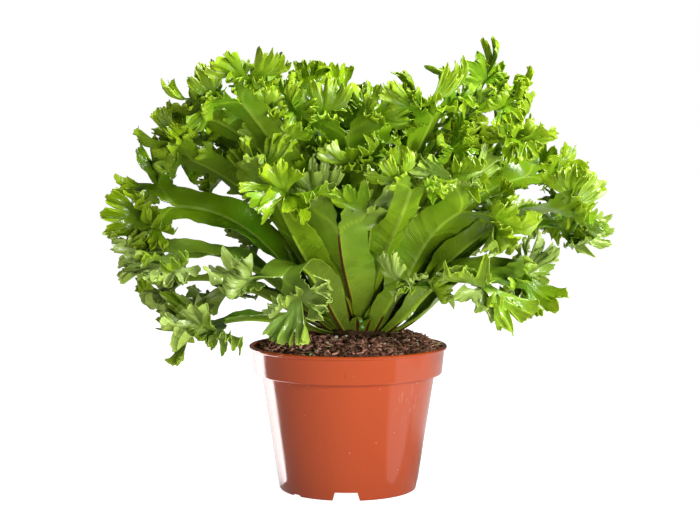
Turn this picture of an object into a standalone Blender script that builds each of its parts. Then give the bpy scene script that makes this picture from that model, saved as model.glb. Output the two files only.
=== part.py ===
# A crested bird's-nest fern growing in a round plastic nursery pot.
# Metres, +Z up. The origin is under the crown, on the surface that the pot stands on.
# Azimuths are in degrees, anticlockwise from above: 0 is +X, 90 is +Y and 270 faces the viewer.

import math
import random
from dataclasses import dataclass, field

import bmesh
import bpy
from mathutils import Matrix, Vector, noise
from mathutils.bvhtree import BVHTree

MM = 0.001
GAP = 0.3 * MM

# Pot: thin moulded plastic with a stepped-out collar and a notched foot. The plant was set
# a little to the right of its middle, and its fronds reach equally far to both sides.
POT_X = -8 * MM
POT_HEIGHT = 95 * MM
LIP_RADIUS = 65 * MM
COLLAR_TOP_RADIUS = 63.4 * MM
COLLAR_FOOT_RADIUS = 61.8 * MM
COLLAR_HEIGHT = 18.5 * MM
BODY_TOP_RADIUS = 57 * MM
BASE_RADIUS = 45.2 * MM
BASE_ROUND = 2.0 * MM
WALL = 1.2 * MM
FOOT_WALL = 2.4 * MM
LIP_HEIGHT = 2.2 * MM
FLOOR_LIFT = 6.2 * MM
POT_SIDES = 48
WIDE_NOTCH_AZIMUTHS = (268.5, 358.5, 88.5, 178.5)
WIDE_NOTCH = (14.4 * MM, 17.6 * MM, 5.7 * MM)
SMALL_NOTCH_AZIMUTHS = (222, 42)
SMALL_NOTCH = (6.5 * MM, 9.5 * MM, 1.5 * MM)
DRAIN_COUNT = 8
DRAIN_RADIUS = 3.5 * MM
DRAIN_CIRCLE = 33 * MM
DRAIN_SIDES = 8

# Soil: a low mound of peat with a plain round hole in which the crown stands.
SOIL_EDGE_DROP = 3.2 * MM
SOIL_MOUND = 8.5 * MM
SOIL_LUMP = 1.1 * MM
SOIL_SIDES = 24
SOIL_RINGS = 5

# Crown: the short upright rhizome that every frond grows from.
CROWN_RADIUS = 23 * MM
CROWN_SHOULDER = 99 * MM
CROWN_DOME = 12 * MM
CROWN_FOOT = 80 * MM
CROWN_SIDES = 18

# Frond blades: a narrow stalk widens into a strap, folded a little along its raised rib.
STALK_WIDTH = 6.0 * MM
BLADE_THICKNESS = 0.7 * MM
RIB_THICKNESS = 2.0 * MM
RIB_END_THICKNESS = 1.0 * MM
KEEL_FOLD = 0.20
WAVE_HEIGHT = 1.5 * MM
WAVE_LENGTH = 42 * MM
SPINE_STEPS = 48
BLADE_ROWS = 5

# Crests: a blade's fork bears two arms, and each arm bears fans of three pleated lobes.
ARM_STEPS = 12
LOBES = 3
LOBE_CUT = 0.18

# The fronds that the view shows, from the lowest up, then those on the hidden side: azimuth,
# reach of the fork from the crown's axis and its height in mm, slope at the crown and at the
# fork in degrees, width in mm, crest length in mm, roll of the blade in degrees, share of the
# length that stays a narrow stalk and the seed of its small differences.
FRONDS = [
    (184, 118, 186, 50, 2, 29, 46, -44, 0, 1),
    (198, 117, 158, 36, -2, 27, 42, -24, 0, 2),
    (235, 82, 147, 42, -38, 29, 43, 0, 0, 5),
    (206, 97, 114, 13, -10, 25, 43, 0, 0, 4),
    (170, 116, 136, 24, -6, 25, 42, 10, 0, 3),
    (324, 90, 144, 30, -16, 30, 50, 15, 0, 31),
    (299, 64, 138, 42, 8, 20, 28, 0, 0, 32),
    (256, 56, 170, 66, 74, 36, 48, 0, 0, 22),
    (230, 78, 188, 56, 58, 30, 46, 0, 0, 21),
    (322, 78, 184, 52, 26, 31, 44, -25, 0, 26),
    (332, 108, 190, 48, 16, 33, 50, -20, 0.1, 27),
    (356, 123, 180, 44, 4, 28, 46, 40, 0.1, 29),
    (342, 116, 160, 32, 2, 26, 44, 35, 0.1, 30),
    (282, 46, 204, 78, 54, 30, 36, 0, 0, 24),
    (302, 70, 204, 66, 30, 30, 40, 0, 0.1, 25),
    (10, 110, 204, 54, 12, 29, 42, 24, 0.15, 28),
    (180, 112, 214, 58, 18, 30, 44, 35, 0.15, 7),
    (192, 104, 230, 64, 32, 28, 42, 30, 0.15, 8),
    (168, 96, 240, 68, 40, 28, 40, 25, 0.2, 9),
    (203, 84, 242, 72, 46, 28, 42, 25, 0.2, 10),
    (220, 66, 230, 74, 52, 28, 42, 10, 0.2, 11),
    (248, 44, 224, 80, 62, 28, 42, 0, 0.25, 13),
    (316, 54, 234, 78, 60, 28, 42, 0, 0.25, 16),
    (330, 64, 212, 68, 44, 27, 40, 0, 0.25, 55),
    (327, 86, 226, 68, 44, 29, 44, 15, 0.2, 20),
    (343, 104, 234, 64, 34, 28, 42, 25, 0.2, 19),
    (3, 75, 246, 72, 52, 29, 46, -10, 0.25, 18),
    (148, 74, 244, 74, 56, 28, 42, 0, 0.25, 12),
    (116, 60, 244, 76, 60, 28, 42, 0, 0.25, 14),
    (84, 52, 242, 80, 64, 28, 42, 0, 0.25, 15),
    (48, 66, 246, 76, 58, 28, 42, 0, 0.25, 17),
    (138, 98, 206, 56, 22, 28, 44, 0, 0.15, 34),
    (108, 70, 220, 62, 36, 28, 44, 0, 0.15, 35),
    (76, 68, 212, 62, 32, 28, 44, 0, 0.15, 36),
    (38, 100, 214, 60, 28, 28, 44, 0, 0.15, 37),
    (124, 79, 156, 34, 2, 27, 44, 0, 0.1, 38),
    (92, 70, 168, 41, 10, 27, 42, 0, 0.1, 39),
    (60, 76, 150, 30, 0, 27, 44, 0, 0.1, 40),
    (30, 110, 176, 42, 10, 27, 44, 0, 0.1, 41),
    (150, 104, 126, 20, -8, 26, 42, 0, 0, 42),
    (76, 74, 120, 16, -10, 26, 40, 0, 0, 43),
]


def clear_scene():
    for thing in list(bpy.data.objects):
        bpy.data.objects.remove(thing)


def material(name, colour, roughness):
    made = bpy.data.materials.new(name)
    made.use_nodes = True
    shader = made.node_tree.nodes["Principled BSDF"]
    shader.inputs["Base Color"].default_value = (*colour, 1)
    shader.inputs["Roughness"].default_value = roughness
    shader.inputs["Metallic"].default_value = 0
    return made


def new_object(name, mesh, finish):
    mesh.materials.append(finish)
    made = bpy.data.objects.new(name, mesh)
    bpy.context.scene.collection.objects.link(made)
    return made


def cone_radius(z):
    """Outer radius of the pot's body at a height, between its base and its collar."""
    share = z / (POT_HEIGHT - COLLAR_HEIGHT)
    return BASE_RADIUS + (BODY_TOP_RADIUS - BASE_RADIUS) * share


def turned_mesh(name, outline, sides):
    """A solid turned from an outline of (radius, height) that starts and ends on the axis."""
    shape = bmesh.new()
    points = [shape.verts.new((radius, 0, height)) for radius, height in outline]
    edges = [shape.edges.new(pair) for pair in zip(points, points[1:])]
    bmesh.ops.spin(
        shape,
        geom=points + edges,
        axis=(0, 0, 1),
        cent=(0, 0, 0),
        steps=sides,
        angle=2 * math.pi,
    )
    bmesh.ops.remove_doubles(shape, verts=shape.verts, dist=0.001 * MM)
    bmesh.ops.recalc_face_normals(shape, faces=shape.faces)
    mesh = bpy.data.meshes.new(name)
    shape.to_mesh(mesh)
    shape.free()
    mesh.shade_smooth()
    mesh.set_sharp_from_angle(angle=math.radians(35))
    return mesh


def pot_outline():
    ledge = POT_HEIGHT - COLLAR_HEIGHT
    floor_top = FLOOR_LIFT + WALL
    return [
        (0, floor_top),
        (cone_radius(floor_top) - WALL, floor_top),
        (BODY_TOP_RADIUS - WALL, ledge + WALL),
        (COLLAR_FOOT_RADIUS - WALL, ledge + WALL),
        (COLLAR_TOP_RADIUS - WALL, POT_HEIGHT),
        (LIP_RADIUS - 0.5 * MM, POT_HEIGHT),
        (LIP_RADIUS, POT_HEIGHT - 0.6 * MM),
        (LIP_RADIUS, POT_HEIGHT - LIP_HEIGHT + 0.5 * MM),
        (COLLAR_TOP_RADIUS, POT_HEIGHT - LIP_HEIGHT),
        (COLLAR_FOOT_RADIUS, ledge + 0.8 * MM),
        (COLLAR_FOOT_RADIUS - 0.8 * MM, ledge),
        (BODY_TOP_RADIUS, ledge),
        (cone_radius(BASE_ROUND), BASE_ROUND),
        (BASE_RADIUS - 0.7 * MM, 0),
        (BASE_RADIUS - FOOT_WALL, 0),
        (BASE_RADIUS - FOOT_WALL, FLOOR_LIFT),
        (0, FLOOR_LIFT),
    ]


def add_notch(shape, azimuth, size):
    """A tapered slot through the foot, given by its width at the top, at the foot and its height."""
    top_width, foot_width, height = size
    inner, outer = BASE_RADIUS - 6 * MM, BASE_RADIUS + 6 * MM
    below = -2 * MM
    flare = (foot_width - top_width) * -below / height
    turn = Matrix.Rotation(math.radians(azimuth), 4, "Z")
    section = (
        (-(foot_width + flare) / 2, below),
        ((foot_width + flare) / 2, below),
        (top_width / 2, height),
        (-top_width / 2, height),
    )
    near = [shape.verts.new(turn @ Vector((inner, y, z))) for y, z in section]
    far = [shape.verts.new(turn @ Vector((outer, y, z))) for y, z in section]
    shape.faces.new(reversed(near))
    shape.faces.new(far)
    for index in range(4):
        after = (index + 1) % 4
        shape.faces.new((near[index], near[after], far[after], far[index]))


def foot_cutters():
    """The slots through the foot and the drain holes in the floor."""
    shape = bmesh.new()
    for azimuth in WIDE_NOTCH_AZIMUTHS:
        add_notch(shape, azimuth, WIDE_NOTCH)
    for azimuth in SMALL_NOTCH_AZIMUTHS:
        add_notch(shape, azimuth, SMALL_NOTCH)
    for index in range(DRAIN_COUNT):
        angle = 2 * math.pi * (index + 0.5) / DRAIN_COUNT
        centre = Vector((math.cos(angle), math.sin(angle), 0)) * DRAIN_CIRCLE
        centre.z = FLOOR_LIFT
        bmesh.ops.create_cone(
            shape,
            cap_ends=True,
            segments=DRAIN_SIDES,
            radius1=DRAIN_RADIUS,
            radius2=DRAIN_RADIUS,
            depth=6 * MM,
            matrix=Matrix.Translation(centre),
        )
    bmesh.ops.recalc_face_normals(shape, faces=shape.faces)
    mesh = bpy.data.meshes.new("foot_cutters")
    shape.to_mesh(mesh)
    shape.free()
    cutter = bpy.data.objects.new("foot_cutters", mesh)
    bpy.context.scene.collection.objects.link(cutter)
    cutter.location.x = POT_X
    cutter.hide_render = True
    cutter.display_type = "WIRE"
    return cutter


def make_pot():
    finish = material("terracotta_plastic", (0.56, 0.16, 0.065), 0.32)
    pot = new_object("pot", turned_mesh("pot", pot_outline(), POT_SIDES), finish)
    pot.location.x = POT_X
    cut = pot.modifiers.new("foot", "BOOLEAN")
    cut.operation = "DIFFERENCE"
    cut.object = foot_cutters()
    return pot


def crown_axis(height):
    return Vector((0, 0, height))


def soil_height(place, share):
    """Height of the soil at a point that lies this share of the way from the rim to the crown."""
    mound = SOIL_MOUND * math.sin(share * math.pi / 2) ** 0.8
    lump = noise.noise(Vector((place.x, place.y, 0)) / (11 * MM)) * SOIL_LUMP
    fine = noise.noise(Vector((place.x, place.y, 0.05)) / (5 * MM)) * SOIL_LUMP * 0.5
    return POT_HEIGHT - SOIL_EDGE_DROP + mound + (lump + fine) * min(1, share * 5)


def ring(shape, centre, radius, sides):
    made = []
    for index in range(sides):
        angle = 2 * math.pi * index / sides
        offset = Vector((math.cos(angle), math.sin(angle), 0)) * radius
        made.append(shape.verts.new(centre + offset))
    return made


def join_rings(shape, low, high):
    """A band of triangles from one ring of points up to the next, facing outwards."""
    count = len(low)
    for index in range(count):
        after = (index + 1) % count
        shape.faces.new((low[index], low[after], high[after]))
        shape.faces.new((low[index], high[after], high[index]))


def make_soil():
    """Peat from the pot's floor to a lumpy mound, with a round hole for the crown."""
    shape = bmesh.new()
    tighten = math.cos(math.pi / POT_SIDES)
    ledge = POT_HEIGHT - COLLAR_HEIGHT
    floor_top = FLOOR_LIFT + WALL
    edge_height = POT_HEIGHT - SOIL_EDGE_DROP
    collar_share = (edge_height - ledge) / COLLAR_HEIGHT
    collar_radius = COLLAR_FOOT_RADIUS + (COLLAR_TOP_RADIUS - COLLAR_FOOT_RADIUS) * collar_share
    side = [
        (cone_radius(floor_top) - WALL, floor_top + GAP),
        (BODY_TOP_RADIUS - WALL, ledge + WALL + GAP),
        (COLLAR_FOOT_RADIUS - WALL, ledge + WALL + GAP),
        (collar_radius - WALL, edge_height),
    ]
    rings = [
        ring(shape, Vector((POT_X, 0, height)), radius * tighten - 1.5 * GAP, SOIL_SIDES)
        for radius, height in side
    ]
    edge_radius = side[-1][0] * tighten - 1.5 * GAP
    hole_radius = (CROWN_RADIUS + GAP) / math.cos(math.pi / SOIL_SIDES)
    for step in range(1, SOIL_RINGS + 1):
        share = step / SOIL_RINGS
        centre = Vector((POT_X * (1 - share), 0, 0))
        radius = edge_radius + (hole_radius - edge_radius) * share
        made = ring(shape, centre, radius, SOIL_SIDES)
        for point in made:
            point.co.z = soil_height(point.co, share)
        rings.append(made)
    rings.append(ring(shape, crown_axis(CROWN_FOOT - GAP), hole_radius, SOIL_SIDES))
    for low, high in zip(rings, rings[1:]):
        join_rings(shape, low, high)
    shape.faces.new(reversed(rings[0]))
    shape.faces.new(rings[-1])
    bmesh.ops.triangulate(shape, faces=[face for face in shape.faces if len(face.verts) > 4])
    mesh = bpy.data.meshes.new("soil")
    shape.to_mesh(mesh)
    shape.free()
    return new_object("soil", mesh, material("peat", (0.055, 0.026, 0.013), 0.95))


def crown_seat(azimuth, slope):
    """Where a frond leaves the crown's dome, and the dome's outward normal there."""
    tilt = math.radians(26 + 0.66 * slope)
    outward = Vector((math.cos(azimuth), math.sin(azimuth), 0))
    across, up = math.cos(tilt), math.sin(tilt)
    size = math.hypot(CROWN_RADIUS * across, CROWN_DOME * up)
    place = crown_axis(CROWN_SHOULDER)
    place = place + outward * (CROWN_RADIUS**2 * across / size)
    place.z += CROWN_DOME**2 * up / size
    return place, outward * across + Vector((0, 0, up))


def make_crown():
    """A squat dome on a plug that stands in the soil."""
    dome_steps = 4
    outline = [(0, CROWN_FOOT), (CROWN_RADIUS - MM, CROWN_FOOT), (CROWN_RADIUS, CROWN_FOOT + MM)]
    for step in range(dome_steps + 1):
        angle = math.pi / 2 * step / dome_steps
        height = CROWN_SHOULDER + CROWN_DOME * math.sin(angle)
        outline.append((CROWN_RADIUS * math.cos(angle) if step < dome_steps else 0, height))
    finish = material("rhizome_scales", (0.075, 0.045, 0.022), 0.85)
    return new_object("crown", turned_mesh("crown", outline, CROWN_SIDES), finish)


@dataclass
class Frame:
    """A place on a frond with its directions: along it, across it and out of its upper face."""

    place: Vector
    along: Vector
    across: Vector

    @property
    def up(self):
        return self.along.cross(self.across)

    def turned(self, pitch=0.0, yaw=0.0, roll=0.0):
        """Pitch lifts the tip, yaw swings it sideways and roll turns the blade about its rib."""
        along, across = self.along, self.across
        if pitch:
            along = Matrix.Rotation(-pitch, 3, across) @ along
        if yaw:
            normal = along.cross(across)
            swing = Matrix.Rotation(yaw, 3, normal)
            along, across = swing @ along, swing @ across
        if roll:
            across = Matrix.Rotation(roll, 3, along) @ across
        return Frame(self.place.copy(), along.normalized(), across.normalized())

    def moved(self, distance):
        return Frame(self.place + self.along * distance, self.along, self.across)

    def point(self, across, up=0.0, along=0.0):
        return self.place + self.across * across + self.up * up + self.along * along


@dataclass
class Fan:
    """A crest's last part: it spreads from an arm's end into lobes that lift and fold apart."""

    radius: float
    spread: float
    cup: float
    pleat: float
    lifts: list
    pitch: float
    yaw: float
    roll: float


@dataclass
class Arm:
    """A crest's arm, from the blade's fork to its own fork."""

    length: float
    flare: float
    pitch: float
    yaw: float
    roll: float
    curl: float
    fans: list = field(default_factory=list)


@dataclass
class Frond:
    spine: list
    length: float
    width: float
    stalk: float
    wave_phase: tuple
    arms: list


def spine_of(azimuth, reach, height, launch, nod, roll):
    """Frames along a cubic curve from the crown to the fork."""
    azimuth, launch, nod = (math.radians(angle) for angle in (azimuth, launch, nod))
    outward = Vector((math.cos(azimuth), math.sin(azimuth), 0))
    sideways = Vector((-math.sin(azimuth), math.cos(azimuth), 0))
    up = Vector((0, 0, 1))
    seat, normal = crown_seat(azimuth, math.degrees(launch))
    start_way = outward * math.cos(launch) + up * math.sin(launch)
    end_way = outward * math.cos(nod) + up * math.sin(nod)
    lean = abs(start_way.cross(normal).length)
    start = seat + normal * (GAP + lean * RIB_THICKNESS / 2)
    end = crown_axis(height) + outward * reach
    pull = 0.38 * (end - start).length
    knots = (start, start + start_way * pull, end - end_way * pull, end)
    frames = []
    for step in range(SPINE_STEPS + 1):
        t = step / SPINE_STEPS
        s = 1 - t
        place = s**3 * knots[0] + 3 * s * s * t * knots[1] + 3 * s * t * t * knots[2] + t**3 * knots[3]
        along = (
            s * s * (knots[1] - knots[0])
            + 2 * s * t * (knots[2] - knots[1])
            + t * t * (knots[3] - knots[2])
        )
        frame = Frame(place, along.normalized(), sideways)
        frames.append(frame.turned(roll=roll * t * (2 - t)))
    return frames


def plan_fans(draw, size, lean):
    """The two or three fans that end one arm, side by side and pitched apart in turn."""
    count = draw.choice((2, 2, 3))
    step = draw.uniform(74, 88) if count == 2 else draw.uniform(46, 56)
    fans = []
    for index in range(count):
        side = 2 * index / (count - 1) - 1
        spread = math.radians(step / 2 * draw.uniform(0.9, 1.08))
        fans.append(
            Fan(
                radius=size * draw.uniform(0.50, 0.64),
                spread=spread,
                cup=draw.uniform(-0.2, 0.45),
                pleat=spread * draw.uniform(0.12, 0.2) * draw.choice((-1, 1)),
                lifts=[spread * draw.uniform(-0.3, 0.3) for _ in range(LOBES)],
                pitch=math.radians(draw.uniform(4, 28) * lean * (-1) ** index),
                yaw=math.radians(side * step * (count - 1) / 2),
                roll=math.radians(side * draw.uniform(-20, 35)),
            )
        )
    return fans


def plan_arms(draw, size):
    """Two arms, splayed from the fork, one pitched up and one down."""
    arms = []
    lean = draw.choice((-1, 1))
    for side in (-1, 1):
        arms.append(
            Arm(
                length=size * draw.uniform(0.36, 0.48),
                flare=draw.uniform(1.4, 1.7),
                pitch=math.radians(draw.uniform(4, 20) * side * lean),
                yaw=math.radians(side * draw.uniform(28, 38)),
                roll=math.radians(side * draw.uniform(-20, 40)),
                curl=math.radians(draw.uniform(-35, 30)),
                fans=plan_fans(draw, size, side * lean),
            )
        )
    return arms


def plan_frond(row, attempt):
    """The frond of one row. Later attempts shift it further, to keep it clear of the others."""
    azimuth, reach, height, launch, nod, width, crest, roll, stalk, seed = row
    draw = random.Random(1000 * seed + attempt)
    shift = min(attempt / 80, 2)
    azimuth += draw.uniform(-9, 9) * shift
    launch += draw.uniform(-6, 6) * shift
    nod += draw.uniform(-12, 12) * shift
    reach += draw.uniform(-12, 12) * shift
    height += draw.uniform(-10, 10) * shift
    shrink = 1 - 0.35 * min(attempt / 350, 1)
    roll += draw.uniform(-8, 8)
    spine = spine_of(azimuth, reach * MM, height * MM, launch, nod, math.radians(roll))
    length = sum((b.place - a.place).length for a, b in zip(spine, spine[1:]))
    return Frond(
        spine=spine,
        length=length,
        width=width * MM * shrink,
        stalk=stalk,
        wave_phase=(draw.uniform(0, 2 * math.pi), draw.uniform(0, 2 * math.pi)),
        arms=plan_arms(draw, crest * MM * shrink),
    )


class Sheet:
    """The middle surface of a frond as triangles, with how thick it is at each point."""

    def __init__(self):
        self.points = []
        self.thickness = []
        self.faces = []

    def row(self, points, rib):
        """Adds a row of points from left to right, with its rib in the middle."""
        first = len(self.points)
        last = len(points) - 1
        for index, point in enumerate(points):
            from_edge = 1 - abs(2 * index / last - 1)
            self.points.append(point)
            self.thickness.append(BLADE_THICKNESS + (rib - BLADE_THICKNESS) * from_edge)
        return list(range(first, len(self.points)))

    def bridge(self, low, high):
        """Fills between two rows, whose counts may differ."""
        i, j = 0, 0
        low_end, high_end = len(low) - 1, len(high) - 1
        while i < low_end or j < high_end:
            step_low = j == high_end or (i < low_end and (i + 1) / low_end <= (j + 1) / high_end)
            if step_low:
                self.faces.append((low[i], high[j], low[i + 1]))
                i += 1
            else:
                self.faces.append((low[i], high[j], high[j + 1]))
                j += 1

    def normals(self):
        sums = [Vector() for _ in self.points]
        for a, b, c in self.faces:
            normal = (self.points[b] - self.points[a]).cross(self.points[c] - self.points[a])
            for corner in (a, b, c):
                sums[corner] += normal
        return [total.normalized() for total in sums]

    def solid(self, extra=0.0):
        """The sheet thickened into a closed solid, and by extra on each face."""
        count = len(self.points)
        upper, lower = [], []
        for point, thickness, normal in zip(self.points, self.thickness, self.normals()):
            upper.append(point + normal * (BLADE_THICKNESS / 2 + extra))
            lower.append(point - normal * (thickness - BLADE_THICKNESS / 2 + extra))
        faces = list(self.faces)
        faces += [(c + count, b + count, a + count) for a, b, c in self.faces]
        ways = {pair for a, b, c in self.faces for pair in ((a, b), (b, c), (c, a))}
        for a, b in sorted(ways):
            if (b, a) not in ways:
                faces.append((b, a, a + count))
                faces.append((b, a + count, b + count))
        return upper + lower, faces


def blade_width(frond, share):
    """Full width of the strap at a share of its length: a stalk, then the full blade."""
    rise = min(max(share - frond.stalk, 0) / (0.7 - frond.stalk), 1)
    swell = rise * (2 - rise)
    return STALK_WIDTH + (frond.width - STALK_WIDTH) * swell


def blade_point(frond, share, x):
    """A point of the blade at a share of its length, with x from -1 to 1 across it."""
    frame = frond.spine[round(share * SPINE_STEPS)]
    half = blade_width(frond, share) / 2
    phase = frond.wave_phase[x > 0]
    turns = 2 * math.pi * share * frond.length / WAVE_LENGTH
    wave = WAVE_HEIGHT * min(1, share * 2) * math.sin(turns + phase) * abs(x) ** 3
    return frame.point(x * half, KEEL_FOLD * half * abs(x) + wave)


def fan_point(fan, frame, start_width, share, x):
    """A point of a fan at a share of its radius, with x from -1 to 1 across it."""
    turn = LOBES * (x + 1) / 2
    lobe = abs(math.sin(math.pi * turn))
    lift = fan.lifts[min(int(turn), LOBES - 1)] * lobe
    radius = fan.radius * share * (1 - LOBE_CUT * (1 - lobe) * share)
    angle = x * fan.spread * min(1, 0.35 + share)
    side = x * start_width / 2 * (1 - share) + radius * math.sin(angle)
    crease = math.cos(2 * math.pi * turn)
    rise = radius * share * (fan.cup + lift + fan.pleat * crease)
    return frame.point(side, rise, radius * math.cos(angle))


def add_fan(sheet, fan, origin, root, start_width):
    frame = origin.turned(fan.pitch, fan.yaw, fan.roll)
    row = root
    for share, cells in ((0.5, 2), (1.0, 2 * LOBES)):
        places = [fan_point(fan, frame, start_width, share, 2 * k / cells - 1) for k in range(cells + 1)]
        made = sheet.row(places, BLADE_THICKNESS)
        sheet.bridge(row, made)
        row = made


def arm_end(arm, origin):
    """The frame at an arm's fork, past its turn away from the blade and its curl."""
    frame = origin.turned(arm.pitch, arm.yaw, arm.roll)
    for _ in range(ARM_STEPS):
        frame = frame.moved(arm.length / ARM_STEPS).turned(pitch=arm.curl / ARM_STEPS)
    return frame


def add_arm(sheet, arm, origin, root, start_width):
    """An arm from its root row to its own fork, and the fans beyond it."""
    frame = arm_end(arm, origin)
    width = start_width * arm.flare
    cells = len(arm.fans)
    places = []
    for k in range(cells + 1):
        across = (2 * k / cells - 1) * width / 2
        places.append(frame.point(across, KEEL_FOLD * abs(across)))
    row = sheet.row(places, RIB_END_THICKNESS)
    sheet.bridge(root, row)
    add_forks(sheet, row, frame, width, arm.fans, add_fan)


def add_forks(sheet, row, frame, width, parts, add_part):
    """Splits a row between the parts that grow on from it."""
    count = len(parts)
    cells = len(row) - 1
    for index, part in enumerate(parts):
        first, last = index * cells // count, (index + 1) * cells // count
        middle = ((first + last) / cells - 1) * width / 2
        origin = Frame(frame.point(middle), frame.along, frame.across)
        add_part(sheet, part, origin, row[first : last + 1], width / count)


def sheet_of(frond):
    sheet = Sheet()
    row = None
    for index in range(BLADE_ROWS + 1):
        share = index / BLADE_ROWS
        rib = RIB_THICKNESS + (RIB_END_THICKNESS - RIB_THICKNESS) * share
        made = sheet.row([blade_point(frond, share, x) for x in (-1, 0, 1)], rib)
        if row:
            sheet.bridge(row, made)
        row = made
    add_forks(sheet, row, frond.spine[-1], frond.width, frond.arms, add_arm)
    return sheet


def tree_of(points, faces):
    return BVHTree.FromPolygons(points, faces, all_triangles=True)


def tree_of_object(thing):
    graph = bpy.context.evaluated_depsgraph_get()
    return BVHTree.FromObject(thing, graph)


def grow_fronds(neighbours):
    """Each frond in turn, shifted until it clears itself, the pot's parts and the fronds before it."""
    finish = material("frond_green", (0.17, 0.36, 0.025), 0.4)
    trees = list(neighbours)
    for index, row in enumerate(FRONDS, start=1):
        for attempt in range(900):
            sheet = sheet_of(plan_frond(row, attempt))
            own = tree_of(*sheet.solid())
            if own.overlap(own):
                continue
            grown = tree_of(*sheet.solid(extra=GAP))
            if not any(grown.overlap(tree) for tree in trees):
                break
        else:
            raise ValueError(f"frond {index} finds no clear place")
        trees.append(own)
        points, faces = sheet.solid()
        mesh = bpy.data.meshes.new(f"frond_{index:02d}")
        mesh.from_pydata(points, [], faces)
        mesh.shade_smooth()
        mesh.set_sharp_from_angle(angle=math.radians(50))
        new_object(f"frond_{index:02d}", mesh, finish)


def main():
    clear_scene()
    pot = make_pot()
    soil = make_soil()
    crown = make_crown()
    bpy.context.view_layer.update()
    grow_fronds([tree_of_object(pot), tree_of_object(soil), tree_of_object(crown)])


main()
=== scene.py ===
# The looks of a crested bird's-nest fern in a plastic nursery pot.
# Metres, +Z up. The origin is under the fern's crown, on the surface that the pot stands on.

import math
import random
from dataclasses import dataclass

import bmesh
import bpy
import numpy as np
from mathutils import Matrix, Vector, kdtree, noise


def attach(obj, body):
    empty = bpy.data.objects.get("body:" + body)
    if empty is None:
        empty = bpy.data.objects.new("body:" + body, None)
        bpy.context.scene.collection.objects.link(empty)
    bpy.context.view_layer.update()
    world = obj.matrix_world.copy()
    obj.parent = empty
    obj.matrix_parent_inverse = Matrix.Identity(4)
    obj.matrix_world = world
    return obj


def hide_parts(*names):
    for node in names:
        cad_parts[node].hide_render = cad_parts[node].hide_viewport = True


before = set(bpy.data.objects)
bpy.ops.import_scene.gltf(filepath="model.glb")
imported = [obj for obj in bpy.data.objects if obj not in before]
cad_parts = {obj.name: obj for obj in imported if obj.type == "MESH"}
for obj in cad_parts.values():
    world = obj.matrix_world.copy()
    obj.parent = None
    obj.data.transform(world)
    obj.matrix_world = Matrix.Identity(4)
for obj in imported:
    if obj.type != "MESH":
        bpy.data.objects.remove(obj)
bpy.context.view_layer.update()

MM = 0.001

# Pot: one thin injection-moulded shell of terracotta-coloured plastic. A collar steps out round
# its top, and it stands on a foot ring with slots that let water out from under its floor.
# It is glossy, with the fine scuffs, dust and faint flow marks of a pot that has been handled.
POT_X = -8 * MM
POT_HEIGHT = 95 * MM
LIP_RADIUS = 65 * MM
LIP_HEIGHT = 2.2 * MM
COLLAR_TOP_RADIUS = 63.4 * MM
COLLAR_FOOT_RADIUS = 61.8 * MM
COLLAR_HEIGHT = 18.5 * MM
BODY_TOP_RADIUS = 57 * MM
BASE_RADIUS = 45.2 * MM
WALL = 1.2 * MM
FOOT_WALL = 2.4 * MM
FLOOR_LIFT = 6.2 * MM
POT_SIDES = 160
WIDE_NOTCH_AZIMUTHS = (268.5, 358.5, 88.5, 178.5)
WIDE_NOTCH = (14.4 * MM, 17.6 * MM, 5.7 * MM)
SMALL_NOTCH_AZIMUTHS = (222, 42)
SMALL_NOTCH = (6.5 * MM, 9.5 * MM, 1.5 * MM)
DRAIN_COUNT = 8
DRAIN_RADIUS = 3.5 * MM
DRAIN_CIRCLE = 33 * MM
TERRACOTTA = (0.55, 0.080, 0.016)
TERRACOTTA_DARK = (0.42, 0.055, 0.012)
SCUFF = (0.72, 0.27, 0.15)
DUST = (0.85, 0.6, 0.45)
MARK = (0.20, 0.03, 0.01)
MARK_SQUEEZE = (7, 1, 1)
SCUFFED_PLACE = (31 * MM, -40 * MM, 62 * MM)
MARK_PLACE = (-9.8 * MM, -62.3 * MM, 83 * MM)


def bearing(angle):
    """The level direction at an angle from the X axis."""
    return Vector((math.cos(angle), math.sin(angle), 0))


def cone_radius(z):
    """The body's outer radius at a height."""
    share = z / (POT_HEIGHT - COLLAR_HEIGHT)
    return BASE_RADIUS + (BODY_TOP_RADIUS - BASE_RADIUS) * share


def rounded(outline):
    """The outline of (radius, height, rounding) with its corners turned into short arcs."""
    made = []
    last = len(outline) - 1
    for index, (x, z, rounding) in enumerate(outline):
        corner = Vector((x, z))
        if index in (0, last) or rounding == 0:
            made.append(corner)
            continue
        before, after = Vector(outline[index - 1][:2]), Vector(outline[index + 1][:2])
        start = corner + (before - corner).normalized() * rounding
        end = corner + (after - corner).normalized() * rounding
        for step in range(5):
            t = step / 4
            made.append((1 - t) ** 2 * start + 2 * t * (1 - t) * corner + t * t * end)
    return made


def turned_shape(outline, sides):
    """A bmesh turned about the Z axis from an outline that starts and ends on the axis."""
    shape = bmesh.new()
    points = [shape.verts.new((point.x, 0, point.y)) for point in outline]
    edges = [shape.edges.new(pair) for pair in zip(points, points[1:])]
    bmesh.ops.spin(
        shape, geom=points + edges, axis=(0, 0, 1), cent=(0, 0, 0), steps=sides, angle=2 * math.pi
    )
    bmesh.ops.remove_doubles(shape, verts=shape.verts, dist=0.001 * MM)
    bmesh.ops.recalc_face_normals(shape, faces=shape.faces)
    return shape


def mesh_of(shape, name):
    """The bmesh as a mesh. The bmesh is freed."""
    mesh = bpy.data.meshes.new(name)
    shape.to_mesh(mesh)
    shape.free()
    return mesh


def new_piece(name, mesh, finish):
    mesh.materials.append(finish)
    piece = bpy.data.objects.new(name, mesh)
    bpy.context.scene.collection.objects.link(piece)
    return piece


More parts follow.
